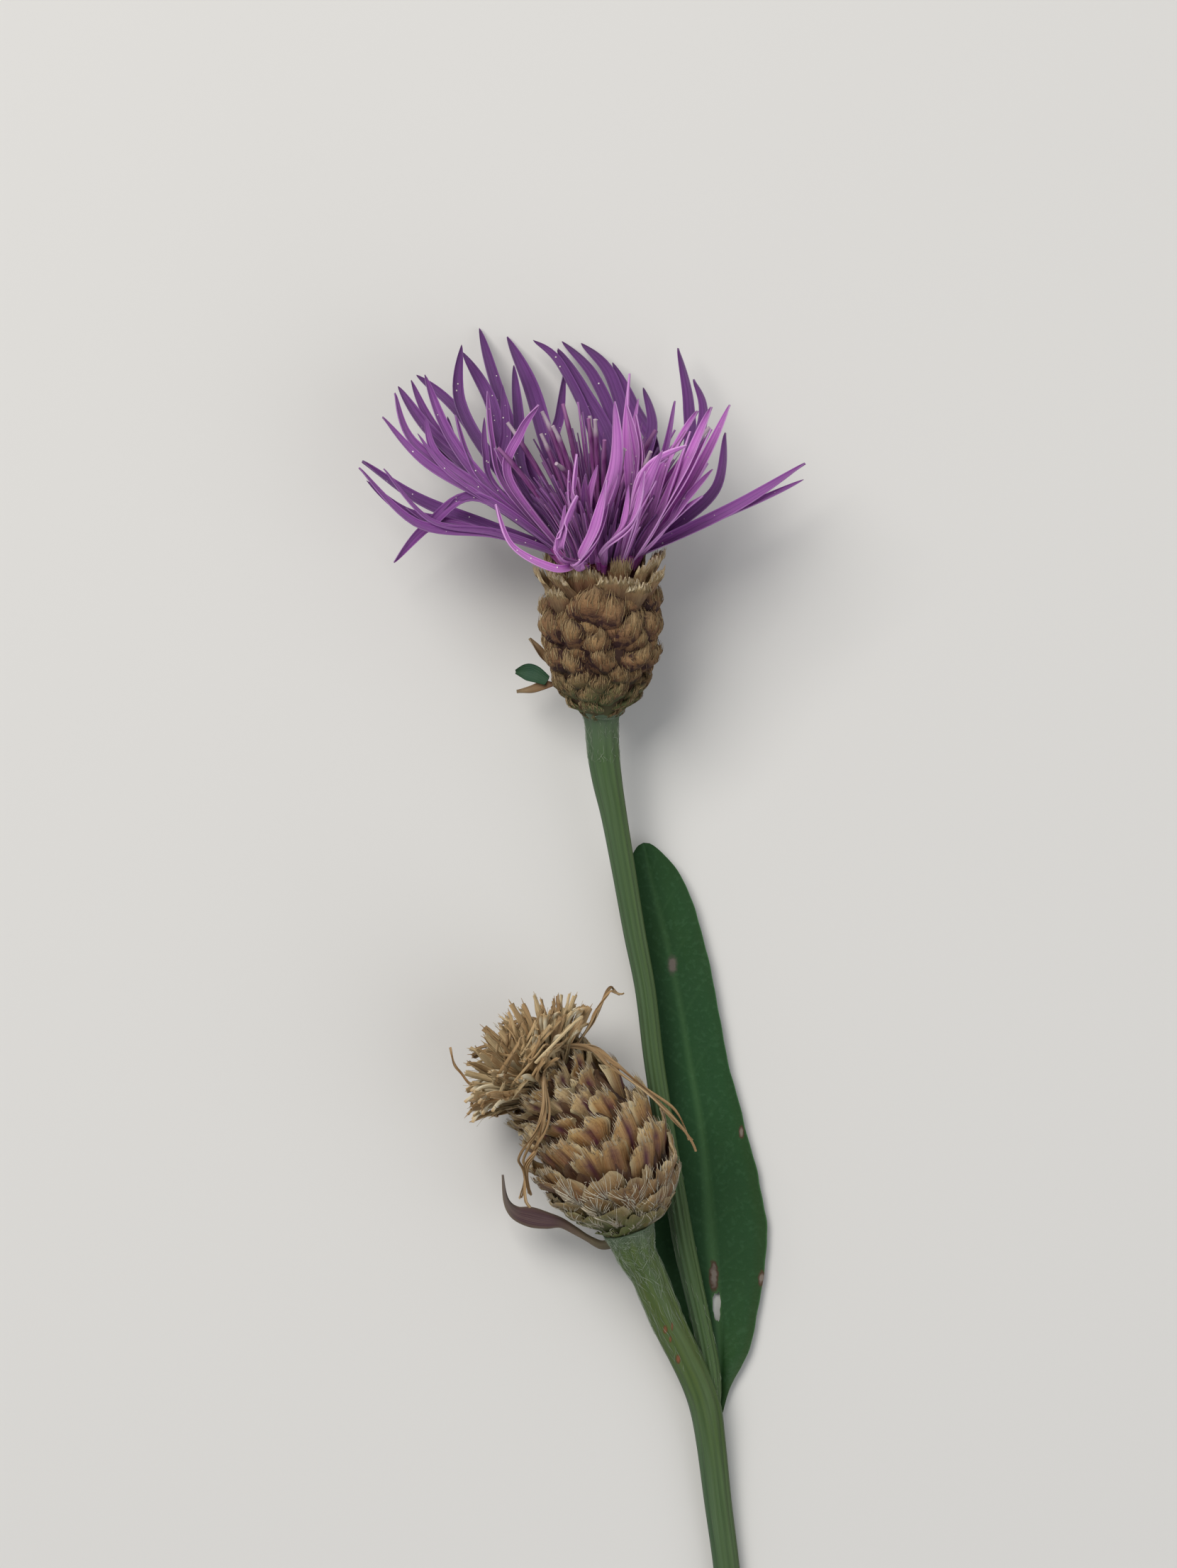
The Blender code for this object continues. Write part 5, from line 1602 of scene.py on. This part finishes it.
# Stray florets
# A few withered florets have slipped out of the brush. They lie over the scales in crinkled bundles.
# Rows of a route: azimuth in degrees, clearance over the cup, height.
STRAY_ROUTES = [
    [
        (312, -1.6, 15.7), (317, 0.5, 16.9), (324, 2.5, 15.0), (332, 2.2, 11.4), (341, 2.1, 8.2),
        (350, 2.3, 5.6),
    ],
    [
        (345, -1.6, 15.6), (352, 0.6, 16.0), (356, 2.6, 16.4), (360, 4.4, 16.8), (365, 5.8, 16.9),
        (369, 6.3, 16.1),
    ],
    [
        (280, -1.6, 15.6), (274, 0.9, 16.4), (256, 1.5, 14.6), (236, 1.8, 12.8), (217, 2.0, 11.6),
        (197, 2.3, 10.4), (187, 2.7, 7.2),
    ],
    [(190, -1.0, 17.0), (186, 0.8, 19.6), (184, 0.9, 21.6), (184, 0.1, 23.6)],
]
STRAY_WIDTHS = (0.3, 0.3, 0.28, 0.22)
STRAY_STRANDS = (3, 2, 7, 1)
STRAY_SPREAD = (0.8, 0.8, 1.6, 0.3)


def stray_path(rows, phase, spread):
    def path(v):
        azimuth, clearance, height = through(rows, v)
        wave = spread * v * (0.5 + 0.5 * math.sin(9 * v + phase))
        radius = radius_at(SEED_PROFILE, height) + clearance + 0.25 * spread * math.sin(17 * v + phase) * v
        turned = math.radians(azimuth) + wave * math.cos(phase) / 5
        return round_place(seed, radius, turned, height + wave * math.sin(phase))

    return path


copies = []
stray_form = flat_form("stray_form", 4, 40)
for rows, broad, strands, spread in zip(STRAY_ROUTES, STRAY_WIDTHS, STRAY_STRANDS, STRAY_SPREAD):
    for strand in range(strands):
        phase = 2.1 * strand + tints.uniform(0, 1)
        path = stray_path(rows, phase, spread)
        width = lambda v, broad=broad: broad * (1 - 0.6 * v**3) * (1 + 0.35 * math.sin(19 * v))
        turn = lambda v, phase=phase: 1.5 * math.sin(7 * v + phase)
        place = along_path(path, width, lambda point: UP, turn, lambda v: 0.12, 0.1)
        copies.append((stray_form, place, tints.uniform(0.0, 0.5)))
strays = growth("seed_stray_florets", copies, straw_finish("stray_straw"))

# Dry bract
# A withered purple-brown leaf at the left of the seed head's base. It ends in a thin grey thread that curls
# up. Rows: x, y, height, width.
DRY_BRACT = [
    (2.5, -23.4, 6.9, 0.9), (1.6, -23.5, 6.5, 0.8), (0.4, -22.9, 6.2, 0.6), (-0.6, -22.3, 5.9, 0.7),
    (-1.9, -21.6, 5.4, 0.9), (-3.2, -21.4, 5.0, 1.5), (-4.6, -21.1, 4.8, 1.8), (-5.9, -20.7, 4.8, 1.2),
    (-6.7, -19.6, 4.9, 0.5), (-7.0, -17.4, 5.1, 0.12),
]


def bract_finish():
    blade = Finish("dry_bract", 0.6, (6.0, 1.6), (700.0, 3200.0))
    low = ((0.0, 96, 98, 66), (0.3, 112, 98, 74), (0.5, 78, 54, 60))
    blade.body = blade.ramp(blade.along, *low, (0.72, 70, 46, 54), (0.85, 96, 88, 80), (1.0, 104, 100, 92))
    blade.lay((128, 116, 90), blade.span(blade.wide, 0.7, 1.0), 0.6)
    blade.lay((60, 44, 44), blade.patches, 0.35)
    blade.lay((118, 96, 88), blade.fine, 0.4)
    return blade.done(blade.streaks, 0.00006)


bract_form = flat_form("bract_form", 10, 48)
copies = [(bract_form, small_blade(DRY_BRACT, -0.35, 0.14, 0.3), 0.5)]
bract = growth("dry_bract_blade", copies, bract_finish())
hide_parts("dry_bract")
